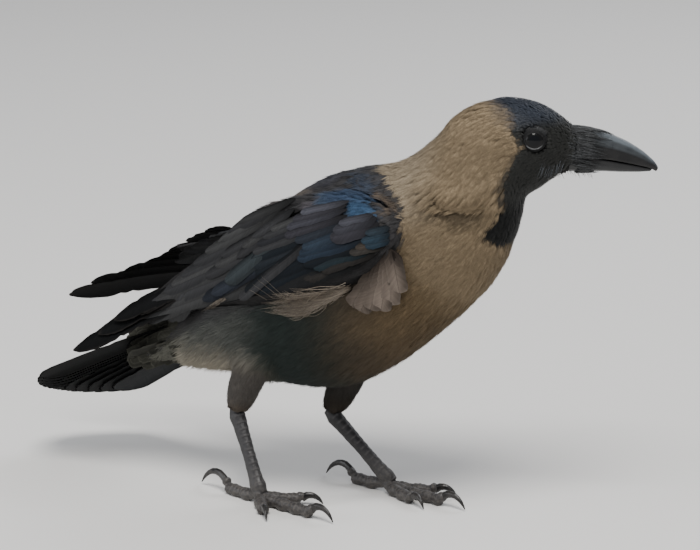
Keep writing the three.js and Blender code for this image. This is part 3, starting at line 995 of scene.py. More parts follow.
def make_coat(skin):
    points, normals, triangles = mesh_arrays(skin)
    surface = tree_of(points, triangles)

    def spacing_of(roots):
        shares, _ = region_shares(roots)
        spacing = blended({region: row[2] for region, row in FEATHERS.items()}, shares)
        forward, _, _ = head_place(roots)
        spacing[eye_distance(roots) < EYE_RADIUS + 0.4] = 0
        spacing[forward > FACE_END] = 0
        place = near_wing_place(roots)
        hard = (place[:, 1] > np.interp(place[:, 0], *zip(*SOFT_EDGE))) | (place[:, 0] < SOFT_EDGE[0][0])
        spacing[(shares["wing"] > 0.5) & hard] = 0
        return spacing

    roots, normal = scatter(points, normals, triangles, spacing_of, TRIES)
    shares, along = region_shares(roots)
    plan = [blended({region: row[k] for region, row in FEATHERS.items()}, shares) for k in range(5)]
    lengths, widths, _, stand, ragged = plan
    collar = collar_share(roots)
    lengths = lengths * (1 + 0.12 * rng.normal(0, 1, len(roots))) * (1 + 0.35 * collar)
    lengths = np.minimum(lengths, np.maximum(eye_distance(roots) - 5.0, 1.6))
    gap, beside = slit_gap(roots)
    lengths = np.where(beside & (gap > 0) & (gap < 8), np.minimum(lengths, 2.5 + gap), lengths)
    stand = stand * (1 + 1.1 * collar)
    colours, gloss = markings(roots, shares)
    shadow = under_collar_share(roots)
    colours = colours * (1 - 0.62 * shadow[:, None])
    aims = lie_of_coat(roots, normal, along)
    flat = unwrap(along)
    rim = 1 + 1.6 * shares["undertail"]
    all_tufts = (roots, normal, aims, lengths, widths, stand, ragged, rim, colours, gloss, flat)
    for name, chosen in coat_groups(roots, shares).items():
        arrays = tufts(*[values[chosen] for values in all_tufts], surface)
        make_mesh_piece(name, material=PLUMAGE, slot="plumage", **arrays)


def slit_gap(points):
    """How far points of the shoulder lie before the end of its feathers, and whether beside that line."""
    along = SLIT_TO - SLIT_FROM
    length = np.linalg.norm(along)
    away = near_wing_place(points) - SLIT_FROM
    run = away @ along / length
    return (away[:, 0] * along[1] - away[:, 1] * along[0]) / length / 2, (run > -4) & (run < length + 4)


# the ragged edge of the nape's feathers where they lie over the breast: x, height on the side of the neck
COLLAR_EDGE = [(44, 172), (50, 169.5), (55, 167), (61, 165), (67.5, 164), (75, 163.5), (82, 165.5)]


def collar_gap(points):
    """How far above the collar's edge a point of the neck lies, in millimetres."""
    points = np.asarray(points)
    edge = np.interp(points[:, 0], *zip(*COLLAR_EDGE)) + 1.2 * ripple(points, 3.0, 8.0)
    return points[:, 2] - edge


def collar_share(points):
    gap = collar_gap(points)
    inside = ease(46, 56, points[:, 0]) * ease(92, 86, points[:, 0])
    return ease(-1, 3, gap) * ease(15, 9, gap) * inside


def under_collar_share(points):
    gap = collar_gap(points)
    inside = ease(50, 60, points[:, 0]) * ease(86, 80, points[:, 0])
    return ease(1, -2, gap) * ease(-11, -5, gap) * inside


def coat_groups(roots, shares):
    """The coat in pieces by where it grows, each under 200,000 triangles."""
    names = list(shares)
    main = np.argmax(np.array([shares[name] for name in names]), 0)
    of = {name: main == k for k, name in enumerate(names)}
    right = roots[:, 1] < 0
    head = of["face"] | of["hood"]
    head_right = (roots - HEAD_AT) @ HEAD_LEFT < 0
    groups = {"coat_hood_right": head & head_right, "coat_hood_left": head & ~head_right}
    for region in ("neck", "breast", "belly"):
        groups[f"coat_{region}_right"] = of[region] & right
        groups[f"coat_{region}_left"] = of[region] & ~right
    groups["coat_back"] = of["mantle"] | of["shoulder"]
    groups["coat_wings"] = of["wing"]
    groups["coat_vent"] = of["vent"] | of["undertail"]
    groups["coat_thighs"] = of["thigh"]
    return {name: chosen for name, chosen in groups.items() if chosen.any()}


# ---- vanes: flight feathers and the coverts of wings and tail ------------------------------
def laid_on(points, shell, heights):
    """Points brought to their heights over a surface, those past its edges left as they are."""
    flat = points.reshape(-1, 3)
    near, normal = nearest(shell, flat)
    away = flat - near
    over = (away * normal).sum(1, keepdims=True)
    beside = np.linalg.norm(away - over * normal, axis=1, keepdims=True)
    share = ease(2.5, 0.6, beside)
    laid = near + normal * heights.reshape(-1, 1)
    return (flat + share * (laid - flat)).reshape(points.shape)


class Vanes:
    """Closed feather blades, gathered into one mesh."""

    def __init__(self, name, rows, columns, sheet=0.25):
        self.name, self.rows, self.columns, self.sheet = name, rows, columns, sheet
        self.parts = []

    def add(
        self,
        path,
        normals,
        low_side,
        low,
        high,
        tones,
        gloss,
        tilt=0.1,
        point=1.2,
        thick=0.2,
        notches=3,
        drop=0.05,
        shell=None,
        lifts=(0, 0),
        sharp=1.0,
        silk=0.35,
        wave=0.12,
    ):
        """One feather on a path from root to tip.

        `low` and `high` are the widths of its two vanes; the low side lies over its neighbour by `tilt`.
        `tones` are the colours at the root, the tip and the worn edge.
        """
        path, run = smooth_path(path, 40)
        length = run[-1]
        given = np.linspace(0, 1, len(normals))
        wide = max(low, high)
        cap = point * wide
        body = np.linspace(0, 1, self.rows * 2 // 3, endpoint=False)
        turn = np.linspace(0, 1, self.rows - len(body)) * math.radians(84)
        reach = np.concatenate([body * (length - cap), length - cap + cap * np.sin(turn)])
        width = np.concatenate([np.clip(0.3 + body * 3.2, 0, 1) * (0.9 + 0.1 * body), np.cos(turn) ** sharp])
        slant = 0.75 * min(1.0, 0.35 * length / wide)
        frayed = 1 + 0.02 * rng.normal(0, 1, (self.rows, 2))
        for _ in range(notches):
            at, side = rng.integers(self.rows // 3, self.rows - 2), rng.integers(0, 2)
            frayed[at, side] *= rng.uniform(0.82, 0.93)
        v = np.linspace(-1, 1, self.columns)
        half = np.where(v > 0, low, high)
        across = v[None] * half[None] * width[:, None]
        across *= np.where(v[None] > 0, frayed[:, :1], frayed[:, 1:]) ** (np.abs(v[None]) > 0.8)
        along = np.clip(reach - slant * wide * width, 0, length)[:, None] + slant * np.abs(across)
        along = np.clip(along, 0, length * 1.02)
        share = along / length

        def read(values, at):
            stations = np.linspace(0, 1, len(values))
            return np.stack([np.interp(at, stations, values[:, i]) for i in range(3)], -1)

        centre = read(path, share)
        up = unit(read(np.asarray(normals)[(given * (len(given) - 1)).astype(int)], share))
        aim = unit(read(np.gradient(path, axis=0), share))
        side = unit(np.cross(up, aim))
        side *= np.sign((side * low_side).sum(-1, keepdims=True))
        bulge = thick * (1 - v**2)[None] + 0.5 * thick * np.exp(-((v / 0.12) ** 2))[None]
        lift = tilt * across - drop * across**2 / wide
        ripple_up = wave * np.sin(share * 9 + rng.uniform(0, 6)) * v[None]
        surface = centre + side * across[..., None] + up * (lift + ripple_up)[..., None]
        if shell:
            surface = laid_on(surface, shell, lift + ripple_up + lifts[0] + (lifts[1] - lifts[0]) * share)
        ends = np.ones(self.rows)
        ends[0] = ends[-1] = 0
        top = surface + up * (bulge * ends[:, None])[..., None] / 2
        bottom = surface - up * (self.sheet * (1 - v**2)[None] * ends[:, None])[..., None] / 2
        root, tip, worn = (np.array(tone) for tone in tones)
        colour = root + (tip - root) * ease(0.05, 0.8, share)[..., None]
        edge = ease(0.8, 1.0, np.abs(v))[None] * ease(0.25, 0.6, share) + ease(0.95, 1.0, share)
        colour = colour + (worn - colour) * np.clip(edge, 0, 1)[..., None]
        # painted shade: each feather darker on the side tucked under its neighbour and towards its root
        tucked_shade = 1 - rng.uniform(0.3, 0.85) * ease(0.1, 1.0, -v)[None] * ease(1.0, 0.85, share)
        colour = colour * (tucked_shade * (1 - 0.5 * ease(0.35, 0.0, share)))[..., None]
        # painted sheen: a lighter band along each feather, a little to its low side, over its outer part
        shine = 1 + 0.35 * np.exp(-(((v - 0.2) / 0.35) ** 2))[None] * ease(0.2, 0.6, share)
        colour = colour * shine[..., None]
        shade = 1 + 0.1 * rng.normal()
        leaning = unit(up + side * (silk * v)[None, :, None])
        self.parts.append((top, bottom, colour * shade, gloss, across, along, path[0], leaning))

    def grid(self):
        """Corner numbers of one feather's triangles: its top grid, then the inner points of its bottom."""
        rows, columns = self.rows, self.columns
        top = np.arange(rows * columns).reshape(rows, columns)
        bottom = top.copy()
        inner = bottom[1:-1, 1:-1]
        inner[:] = rows * columns + np.arange(inner.size).reshape(inner.shape)
        faces = []
        for sheet, order in ((top, (0, 1, 2)), (bottom, (0, 2, 1))):
            a, b, c, d = sheet[:-1, :-1], sheet[:-1, 1:], sheet[1:, 1:], sheet[1:, :-1]
            # two corner cells are cut the other way, so that no triangle has all its corners on the rim
            turned = np.zeros(a.shape, bool)
            turned[0, -1] = turned[-1, 0] = True
            for corners in ((a, b, np.where(turned, d, c)), (np.where(turned, b, a), c, d)):
                faces.append(np.stack([corners[k].ravel() for k in order], 1))
        return np.vstack(faces)

    def build(self, slot, patch=True):
        """The joined mesh. Small feathers bake into a patch at their root, large ones each into a tile."""
        grid = self.grid()
        corners = grid.ravel()
        upper = np.arange(len(grid)) < len(grid) // 2
        rows, columns = np.meshgrid(np.arange(self.rows), np.arange(self.columns), indexing="ij")
        inner = (slice(1, -1), slice(1, -1))

        def both(values):
            return np.concatenate([part.reshape(-1, *values.shape[2:]) for part in (values, values[inner])])

        row, column = both(rows)[corners], both(columns)[corners]
        tiles = math.ceil(math.sqrt(len(self.parts)))
        points, faces, colours, gloss, feather, bake, shading = [], [], [], [], [], [], []
        roots = np.array([part[6] for part in self.parts])
        flat = unwrap(Along(roots))
        for k, (top, bottom, colour, shine, across, along, _, leaning) in enumerate(self.parts):
            shading.append(np.concatenate([leaning.reshape(-1, 3), -leaning[inner].reshape(-1, 3)]))
            points.append(np.concatenate([top.reshape(-1, 3), bottom[inner].reshape(-1, 3)]))
            if self.flipped(top, grid, leaning.reshape(-1, 3).sum(0)):
                order = grid[:, [0, 2, 1]]
            else:
                order = grid
            faces.append(order + k * (self.rows * self.columns + (self.rows - 2) * (self.columns - 2)))
            colours.append(both(colour))
            gloss.append(np.full(len(points[-1]), shine))
            local = np.stack([column / (self.columns - 1), row / (self.rows - 1)], 1)
            if patch:
                uv = flat[k] + 0.003 * (local - 0.5)
            else:
                side = np.repeat(np.where(upper, 0.0, 0.5), 3)
                uv = np.stack([local[:, 0] * 0.44 + side + 0.03, local[:, 1] * 0.94 + 0.03], 1)
                uv = (uv + np.array([k % tiles, k // tiles])) / tiles
            lay = np.stack([0.5 + both(across) / 100, both(along) / 100 + 0.13 * k], 1)[corners]
            if order is not grid:
                uv, lay = (value.reshape(-1, 3, 2)[:, [0, 2, 1]].reshape(-1, 2) for value in (uv, lay))
            feather.append(lay)
            bake.append(uv)
        uvs = {"OFBake": np.vstack(bake), "feather": np.vstack(feather)}
        colours, gloss = np.clip(np.vstack(colours), 0, 1), np.concatenate(gloss)
        shading = np.vstack(shading)
        points, faces = np.vstack(points), np.vstack(faces)
        make_mesh_piece(self.name, points, faces, VANE, slot, colours, gloss, uvs, shading)

    def flipped(self, top, grid, outward):
        """Whether the grid's winding faces into the feather."""
        a, b, c = (top.reshape(-1, 3)[grid[: len(grid) // 2, i]] for i in range(3))
        return np.dot(np.cross(b - a, c - a).sum(0), outward) < 0


WING_LEAN = {"right": math.radians(27), "left": math.radians(38)}  # how far up each wing's outer face looks
WING_OUT = {
    side: unit(np.array([0, sign * math.cos(WING_LEAN[side]), math.sin(WING_LEAN[side])]))
    for side, sign in (("right", -1), ("left", 1))
}

# tones of the wing's feathers
BLUE = (0.008, 0.0128, 0.0205)
TEAL = (0.012, 0.0215, 0.031)
SLATE_BLUE = (0.0027, 0.0043, 0.0063)
PURPLE = (0.0195, 0.0188, 0.0232)
LILAC = (0.034, 0.0345, 0.0425)
SEA_GREY = (0.018, 0.0222, 0.0245)
SOOT = (0.0045, 0.0048, 0.0052)
DUSK = (0.0178, 0.018, 0.0192)
GREY = (0.0235, 0.0237, 0.024)
QUILL = (0.0034, 0.0036, 0.0038)
BROWN = (0.0125, 0.0112, 0.0103)
# the near wing's feathers, from the lowest to the highest: root and tip in the camera's view,
# half width and height over the wing in millimetres, tone
FLIGHT_FEATHERS = [
    ((336, 266), (198, 301), 5.0, -0.9, SOOT),
    ((330, 262), (178, 312), 4.6, -0.6, SOOT),
    ((324, 260), (160, 318), 4.6, -0.3, GREY),
    ((318, 256), (142, 319), 4.4, -0.1, GREY),
    ((312, 250), (140, 314), 4.4, 0.1, GREY),
    ((306, 245), (148, 307), 4.4, 0.2, DUSK),
    ((300, 239), (156, 300), 4.2, 0.3, GREY),
    ((296, 233), (164, 292), 4.2, 0.4, DUSK),
    ((292, 227), (172, 285), 4.2, 0.5, GREY),
    ((290, 222), (182, 276), 4.2, 0.6, DUSK),
    ((288, 216), (194, 264), 4.2, 0.7, DUSK),
    ((286, 211), (206, 252), 4.2, 0.8, GREY),
    ((284, 207), (216, 241), 4.2, 0.9, GREY),
    ((288, 203), (226, 232), 4.0, 1.0, DUSK),
    ((296, 199), (240, 222), 3.6, 1.1, GREY),
    ((296, 248), (203, 300), 3.4, 0.6, (0.008, 0.0095, 0.013)),
    ((296, 242), (212, 294), 3.4, 0.9, (0.013, 0.0155, 0.021)),
    ((294, 232), (206, 276), 3.6, 1.0, DUSK),
    ((292, 226), (216, 266), 3.4, 1.1, GREY),
    ((288, 218), (222, 256), 3.2, 1.2, DUSK),
    ((296, 228), (228, 284), 4.0, 1.3, (0.012, 0.0145, 0.016)),
    ((300, 220), (226, 282), 4.2, 1.6, SEA_GREY),
    ((290, 212), (238, 258), 3.6, 1.8, DUSK),
    ((292, 210), (244, 248), 3.0, 2.0, GREY),
    ((296, 209), (254, 238), 2.8, 2.2, DUSK),
]
COVERTS = [
    ((378, 252), (304, 280), 3.2, -0.2, BROWN),
    ((372, 256), (296, 286), 3.2, -0.1, SOOT),
    ((366, 250), (280, 291), 3.2, 0.0, SOOT),
    ((358, 249), (268, 294), 3.0, 0.1, SOOT),
    ((352, 246), (258, 292), 3.0, 0.3, SLATE_BLUE),
    ((348, 243), (254, 286), 3.0, 0.5, SLATE_BLUE),
    ((318, 236), (241, 299), 2.8, 1.7, DUSK),
    ((308, 240), (246, 292), 2.4, 1.5, SLATE_BLUE),
    ((345, 240), (258, 280), 3.0, 0.7, SLATE_BLUE),
    ((342, 237), (256, 273), 3.0, 0.9, SLATE_BLUE),
    ((338, 233), (254, 266), 3.0, 1.0, (0.006, 0.008, 0.0105)),
    ((334, 229), (252, 260), 2.8, 1.2, SLATE_BLUE),
    ((331, 224), (254, 252), 2.8, 1.4, DUSK),
    ((328, 219), (258, 244), 2.6, 1.5, (0.011, 0.0115, 0.0135)),
    ((324, 214), (264, 237), 2.6, 1.7, DUSK),
    ((320, 210), (272, 230), 2.4, 1.9, GREY),
    ((380, 250), (322, 271), 2.8, 0.5, BROWN),
    ((376, 247), (314, 268), 2.8, 0.8, (0.007, 0.012, 0.015)),
    ((370, 244), (304, 265), 2.8, 1.0, SLATE_BLUE),
    ((364, 241), (298, 259), 2.8, 1.2, BLUE),
    ((356, 236), (300, 254), 3.0, 1.4, BLUE),
    ((352, 229), (303, 248), 3.4, 1.6, (0.012, 0.0185, 0.028)),
    ((350, 222), (296, 241), 2.8, 1.7, (0.009, 0.011, 0.015)),
    ((348, 216), (286, 236), 2.6, 1.9, PURPLE),
    ((348, 210), (288, 228), 2.4, 2.0, (0.024, 0.024, 0.03)),
    ((348, 206), (294, 220), 2.4, 2.1, PURPLE),
    ((350, 202), (302, 213), 2.2, 2.2, LILAC),
    ((386, 246), (350, 253), 2.0, 1.2, (0.02, 0.018, 0.016)),
    ((386, 241), (356, 248), 2.0, 1.4, (0.026, 0.021, 0.017)),
    ((380, 224), (331, 238), 4.6, 1.9, PURPLE),
    ((378, 219), (334, 231), 3.4, 2.2, (0.021, 0.021, 0.026)),
    ((374, 216), (340, 224), 2.4, 2.4, LILAC),
    ((390, 240), (366, 247), 2.2, 1.9, TEAL),
    ((390, 234), (362, 242), 2.2, 2.1, TEAL),
    ((390, 228), (366, 234), 2.0, 2.3, (0.014, 0.021, 0.028)),
]
FAN_ROOT = (391, 249)  # pale feathers fanned out below the bend of the wing, and their tips
FAN_TIPS = [(352, 306), (361, 311), (371, 309), (382, 310), (392, 304), (401, 292)]
FAN_HALF_WIDTH = 4.8
FAN_TONES = ((0.055, 0.044, 0.037), (0.1, 0.081, 0.067), (0.112, 0.092, 0.076))
WING_LIFT = 0.55  # the vanes' heights over the wing are eased by this much
LEFT_STRETCH, LEFT_RAISE = 1.07, 0.145  # the far wing is held longer and higher than the near one


def on_line(places, share):
    """A place part of the way along a line of places in the view."""
    stations = np.linspace(0, 1, len(places))
    return np.array([np.interp(share, stations, [p[i] for p in places]) for i in range(2)])


def cast(tree, place, last, out):
    """The point and normal of the wing seen at a place in the view, or of a plane where none is."""
    line = sight_line(*place)
    hit, normal, _, _ = tree.ray_cast(Vector(VIEW_FROM), Vector(line))
    if hit is not None and (last is None or np.linalg.norm(np.array(hit) - last) < 30):
        return np.array(hit), np.array(normal)
    if last is None:
        last = np.array([-20.0, -34, 125])
    far = np.dot(last - VIEW_FROM, out) / np.dot(line, out)
    return VIEW_FROM + far * line, out


def cast_line(tree, places):
    """The points and normals of the wing seen along a line of places in the view."""
    hits, normals = [], []
    for place in places:
        hit, normal = cast(tree, place, hits[-1] if hits else None, WING_OUT["right"])
        hits.append(hit)
        normals.append(normal)
    return np.array(hits), np.array(normals)


def settle(hits):
    """Evens out a line's inner points."""
    hits[1:-1] = (hits[:-2] + hits[1:-1] + hits[2:]) / 3


def to_left_wing(points, tree):
    x, y, z = points.T
    moved = np.stack([np.where(x < 0, x * LEFT_STRETCH, x), -y, z + LEFT_RAISE * np.maximum(0, -x)], 1)
    return nearest(tree, moved)


def add_wings(trees, shells):
    for side in ("right", "left"):
        out = WING_OUT[side]
        large = Vanes(f"wing_{side}_flight_feathers", 36, 11)
        small = Vanes(f"wing_{side}_coverts_vanes", 22, 9)
        for vanes, feathers in ((large, FLIGHT_FEATHERS), (small, COVERTS)):
            for root, tip, half, height, tone in feathers:
                root, tip, tone = np.array(root), np.array(tip), np.array(tone)
                places = [root + step * (tip - root) for step in np.linspace(0, 1, 8)]
                hits, normals = cast_line(trees["right"], places)
                if side == "left":
                    hits, normals = to_left_wing(hits, trees["left"])
                normals = unit(unit(normals) * 0.5 + out)
                height = WING_LIFT * height
                hits = hits + normals * np.linspace(height - 0.8, height, len(hits))[:, None]
                tones = (tone * 0.7, tone, tone * 1.1 + 0.0008)
                gloss, point, sharp = (0.35, 1.5, 1.1) if vanes is small else (0.25, 2.3, 1.3)
                shape = {"tilt": 0.03, "point": point, "drop": 0.04, "sharp": sharp}
                bed = {"shell": shells[side], "lifts": (height - 0.6, height)}
                low, high = half * 1.1, half * 0.9
                vanes.add(hits, normals, -UP, low, high, tones, gloss, **shape, **bed)
        add_primaries(large, side)
        large.build("flight_feathers", patch=False)
        small.build("plumage")


def add_flank_fans(trees):
    """Pale feathers fanned over the flank from under the bend of each wing."""
    for side, tree in trees.items():
        vanes = Vanes(f"flank_fan_{side}", 24, 9)
        root = np.array(FAN_ROOT)
        for k, tip in enumerate(np.array(FAN_TIPS)):
            steps = (0, 0.45, 0.75, 1)
            places = [root + step * (tip - root) + (3 * step * (1 - step), 0) for step in steps]
            hits, _ = cast_line(trees["right"], places)
            if side == "left":
                hits, _ = nearest(tree, hits * (1, -1, 1))
            out = unit(WING_OUT[side] * (1, 1, 0.1) + (0.25, 0, 0))
            hits = hits + out * np.array([0.0, 1.0 + 0.4 * k, 1.6 + 0.5 * k, 1.4 + 0.5 * k])[:, None]
            half, back = FAN_HALF_WIDTH, np.array([-1.0, 0, -0.3])
            tones = np.array(FAN_TONES) * (0.7 + 0.065 * k)
            vanes.add(hits, [out] * 4, back, half, half, tones, 0.1, tilt=0.0, point=0.5, drop=0.02)
        vanes.build("plumage")


WISP_ROOTS = [(350, 286), (342, 292), (334, 296), (326, 298), (316, 298), (306, 297)]
WISP_TIPS = [(282, 292), (270, 298), (268, 306), (276, 311), (288, 314), (294, 316)]
WISPS, WISP_TONE = 460, np.array([0.26, 0.215, 0.165])
# bare quills behind them and a small buff tuft under the wing: roots, tips, number
LOOSE_TUFTS = [
    ([(286, 298), (278, 300), (268, 301)], [(263, 276), (257, 283), (251, 291)], 4),
    ([(228, 299), (218, 302)], [(216, 309), (205, 313)], 22),
]


def add_wisps(trees):
    """Long loose barbs that trail back over each flank from under the wing."""
    paths, radii, tones = [], [], []
    stages = 9
    steps = np.linspace(0, 1, stages)
    for side, tree in trees.items():
        for _ in range(WISPS):
            share = rng.random()
            root = on_line(WISP_ROOTS, share) + rng.normal(0, 2.0, 2)
            tip = on_line(WISP_TIPS, np.clip(share + rng.normal(0, 0.18), 0, 1))
            tip = root + (tip - root) * rng.uniform(0.55, 1.08) + rng.normal(0, 2.0, 2)
            bow = rng.normal(5, 3)
            places = [root + step * (tip - root) + (0, bow * 4 * step * (1 - step)) for step in steps]
            hits, normals = cast_line(trees["right"], places)
            if side == "left":
                hits, normals = nearest(tree, hits * (1, -1, 1))
            settle(hits)
            paths.append(hits + normals * np.linspace(0.2, rng.uniform(0.8, 2.4), stages)[:, None])
            radii.append(rng.uniform(0.07, 0.17))
            tones.append(WISP_TONE * rng.uniform(0.35, 1.1))
        for roots, tips, count in LOOSE_TUFTS:
            for k in range(count):
                share = k / (count - 1)
                root, tip = (on_line(places, share) + rng.normal(0, 0.8, 2) for places in (roots, tips))
                hits, _ = cast_line(trees["right"], [root + step * (tip - root) for step in steps])
                if side == "left":
                    hits = hits * (1, -1, 1)
                settle(hits)
                paths.append(hits + WING_OUT[side] * np.linspace(1.5, rng.uniform(2, 3.5), stages)[:, None])
                radii.append(rng.uniform(0.06, 0.11))
                tones.append(WISP_TONE * rng.uniform(0.3, 0.7))
    points, faces = strands(paths, radii)
    colours = np.repeat(tones, len(points) // len(tones), axis=0)
    make_mesh_piece("flank_wisps", points, faces, BRISTLE, "plumage", colours)


PRIMARIES = {
    "right": {
        "root": (-66, 19, 106),
        "tips": [(-108, 22, 90), (-117, 22, 88), (-126.5, 21.5, 85), (-136.5, 21, 76.5), (-152.5, 20.5, 66)],
        "lean": 48,
        "half": 6.8,
        "rise": (9.0, 1.0),
    },
    "left": {
        "root": (-74, 35, 111),
        "tips": [
            (-108, 40, 119.5),
            (-118, 40, 115),
            (-129, 40, 108),
            (-136, 40, 103.5),
            (-145, 40, 99.5),
            (-157, 41, 95),
            (-178, 42, 87),
            (-192.5, 43, 79),
        ],
        "lean": 44,
        "half": 7.2,
        "rise": (10.5, 2.3),
    },
}


def add_primaries(vanes, side):
    """The long quills that show past the secondaries, the longest lowest."""
    plan = PRIMARIES[side]
    sign = 1 if side == "left" else -1
    lean = math.radians(plan["lean"])
    out = np.array([0, sign * math.cos(lean), math.sin(lean)])
    mirror = np.array([1, sign, 1])
    root = np.array(plan["root"]) * mirror
    tips = np.array(plan["tips"], float) * mirror
    count = len(tips)
    highest, step = plan["rise"]
    for k in range(count):
        start = root + UP * (highest - step * k) - out * 0.4 * k
        tip = tips[k] - out * 0.4 * k
        bow = (start + tip) / 2 + out * 1.2 + UP * 1.5
        tones = (SOOT, QUILL, BROWN)
        half = plan["half"]
        low = half * (1.4 if side == "right" and k == count - 1 else 1)
        look = {"point": 3.0, "notches": 5, "sharp": 1.5}
        vanes.add([start, bow, tip], [out] * 3, -UP, low, half, tones, 0.12, **look)


# ---- tail ---------------------------------------------------------------------------------
TAIL_ROOT = np.array([-48.0, 0, 96])
TAIL_DROOP, TAIL_SWING, TAIL_ROLL, TAIL_SPREAD = 25, 5.5, -20, 12.7
TAIL_LENGTH, TAIL_HALF_WIDTH, TAIL_FEATHERS, TAIL_SIDES_SHORTER = 152, 11, 12, 16
TAIL_STEP = 3.2  # how far the outermost feathers lie below the middle ones
TAIL_COVERTS = 8  # in each row; the rows: where roots and tips lie, spread and half width
TAIL_COVERT_ROWS = [(30, 96, 1.0, 8), (24, 78, 1.25, 7.5), (16, 60, 1.5, 7)]


def tail_turn():
    turn = Matrix.Rotation(math.radians(-TAIL_SWING), 3, "Z")
    turn = turn @ Matrix.Rotation(math.radians(-TAIL_DROOP), 3, "Y")
    return np.array(turn @ Matrix.Rotation(math.radians(TAIL_ROLL), 3, "X"))


def add_tail():
    turn = tail_turn()
    up = turn @ UP
    vanes = Vanes("tail_feathers", 34, 11, sheet=0.12)

    def fan(reach, share, lift):
        angle = math.radians(TAIL_SPREAD) * share
        return turn @ np.array([-reach * math.cos(angle), reach * math.sin(angle), lift]) + TAIL_ROOT

    for k in range(TAIL_FEATHERS):
        share = 2 * k / (TAIL_FEATHERS - 1) - 1
        reach = TAIL_LENGTH - TAIL_SIDES_SHORTER * abs(share) ** 1.6
        lift = -TAIL_STEP * abs(share)
        middle = fan(70, share, lift + 2.8 - 2.0 * share)
        path = [fan(18, share, lift + 1), middle, fan(reach, share, lift)]
        outer = turn @ np.array([0, 1 if share > 0 else -1, 0])
        # painted sheen: the farthest outer feathers grow paler towards their tips
        pale = ease(0.75, 1.0, share)
        tones = (QUILL, np.array(QUILL) * (0.8 + 4.5 * pale), np.array(QUILL) * 1.6)
        look = {"tilt": -0.01, "point": 1.3, "thick": 0.1, "drop": 0.01, "wave": 0.02}
        vanes.add(path, [up] * 3, outer, TAIL_HALF_WIDTH, TAIL_HALF_WIDTH, tones, 0.15, **look)
    vanes.build("flight_feathers", patch=False)
    coverts = Vanes("tail_coverts", 15, 7)
    for above in (1, -1):
        for row, (root, tip, spread, width) in enumerate(TAIL_COVERT_ROWS):
            for place in np.linspace(-1, 1, TAIL_COVERTS):
                share = place * spread
                high = above * (3.6 + 1.3 * row) - TAIL_STEP * abs(share) * 0.6
                shorter = 14 * abs(place)
                start = fan(root, share * 1.3, high)
                mid = fan((root + tip) / 2, share, high + above * 0.6)
                end = fan(tip - shorter, share * 0.85, high - above * 0.9)
                tones = (SOOT, TONES["scaly"] * 0.5, TONES["scaly"] * 1.1)
                side = turn @ np.array([0, 1 if share > 0 else -1, 0])
                coverts.add([start, mid, end], [up * above] * 3, side, width, width, tones, 0.35, tilt=-0.08)
    coverts.build("plumage")
    add_scaly_coverts()


SCALY_ROWS, SCALY_COLUMNS, SCALY_REACH, SCALY_HALF_WIDTH = 5, 6, 21.0, 4.2


def add_scaly_coverts():
    """Grey feathers with pale rims beside the root of the tail, in rows from the vent back."""
    vanes = Vanes("vent_coverts", 18, 9)
    for side in (-1, 1):
        out = unit(np.array([-0.25, side, 0.1]))
        for row in range(SCALY_ROWS):
            x = -78.0 - 8.0 * row
            back = -80 - x
            highest, lowest = 91.5 - 0.36 * back, 74 - 0.33 * back
            for column in range(SCALY_COLUMNS):
                share = column / (SCALY_COLUMNS - 1) + 0.08 * (row % 2)
                girth = (20.6 - 0.37 * back) * (1 - 0.25 * (2 * share - 1) ** 2)
                root = np.array([x, side * girth, highest + (lowest - highest) * share])
                aim = np.array([-0.93, -0.3 * side, -0.36]) + 0.03 * rng.normal(0, 1, 3)
                lift = 1.3 - 0.3 * row
                middle, tip = (root + aim * SCALY_REACH * part + out * lift for part in (0.5, 1))
                tone = TONES["scaly"] * (0.85 + 0.3 * share)
                tones = (tone * 0.65, tone, tone * 1.9)
                path, half = [root - out * 0.8, middle, tip], SCALY_HALF_WIDTH
                vanes.add(path, [out] * 3, UP, half, half, tones, 0.15, tilt=-0.06, point=1.0)
    vanes.build("plumage")


# ---- bill, eyes and bristles --------------------------------------------------------------
def add_bill():
    bill = []
    for part in ("upper", "lower"):
        piece = joined_copy([f"bill_{part}"], f"bill_{part}_horn", swell=0.24)
        rounded(piece, 0.45, 5)
        piece.data.materials.append(BILL)
        points, normals = points_of(piece), normals_of(piece)
        forward, _, _ = head_place(points)
        up = normals[:, 2]
        # painted highlight: pale where the upper bill faces up, and faintly where the lower bill faces down;
        # kept in the gloss values
        painted_highlight = ease(0.1, 0.75, up) if part == "upper" else 0.06 * ease(0.2, -0.4, up)
        carry_colours(piece.data, None, painted_highlight * ease(16, 34, forward) * ease(76, 66, forward - 4 * up))
        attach(piece, BODY)
        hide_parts(f"bill_{part}")
        bill.append(mesh_arrays(piece))
    upper, lower = bill
    return (
        np.vstack([upper[0], lower[0]]),
        np.vstack([upper[1], lower[1]]),
        np.vstack([upper[2], lower[2] + len(upper[0])]),
    )


def add_eyes():
    for side, left in (("left", 1), ("right", -1)):
        deselect()
        bpy.ops.mesh.primitive_uv_sphere_add(segments=64, ring_count=32, radius=EYE_RADIUS * MM)
        eye = bpy.context.object
        eye.name = f"eye_{side}_ball"
        eye.data.transform(Matrix.Translation(placed(eye_middle(left))))
        eye.location = (0, 0, 0)
        shade_smooth(eye)
        eye.data.materials.append(eye_finish(f"eye_{side}", left))
        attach(eye, BODY)
        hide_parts(f"eye_{side}")
        add_lid(side, left)


# the ring of bare skin round the eye, and how far its outer edge reaches under the feathers
LID_RADIUS, LID_WIDTH, LID_THICK, LID_SKIRT = 4.6, 0.62, 0.42, 2.2


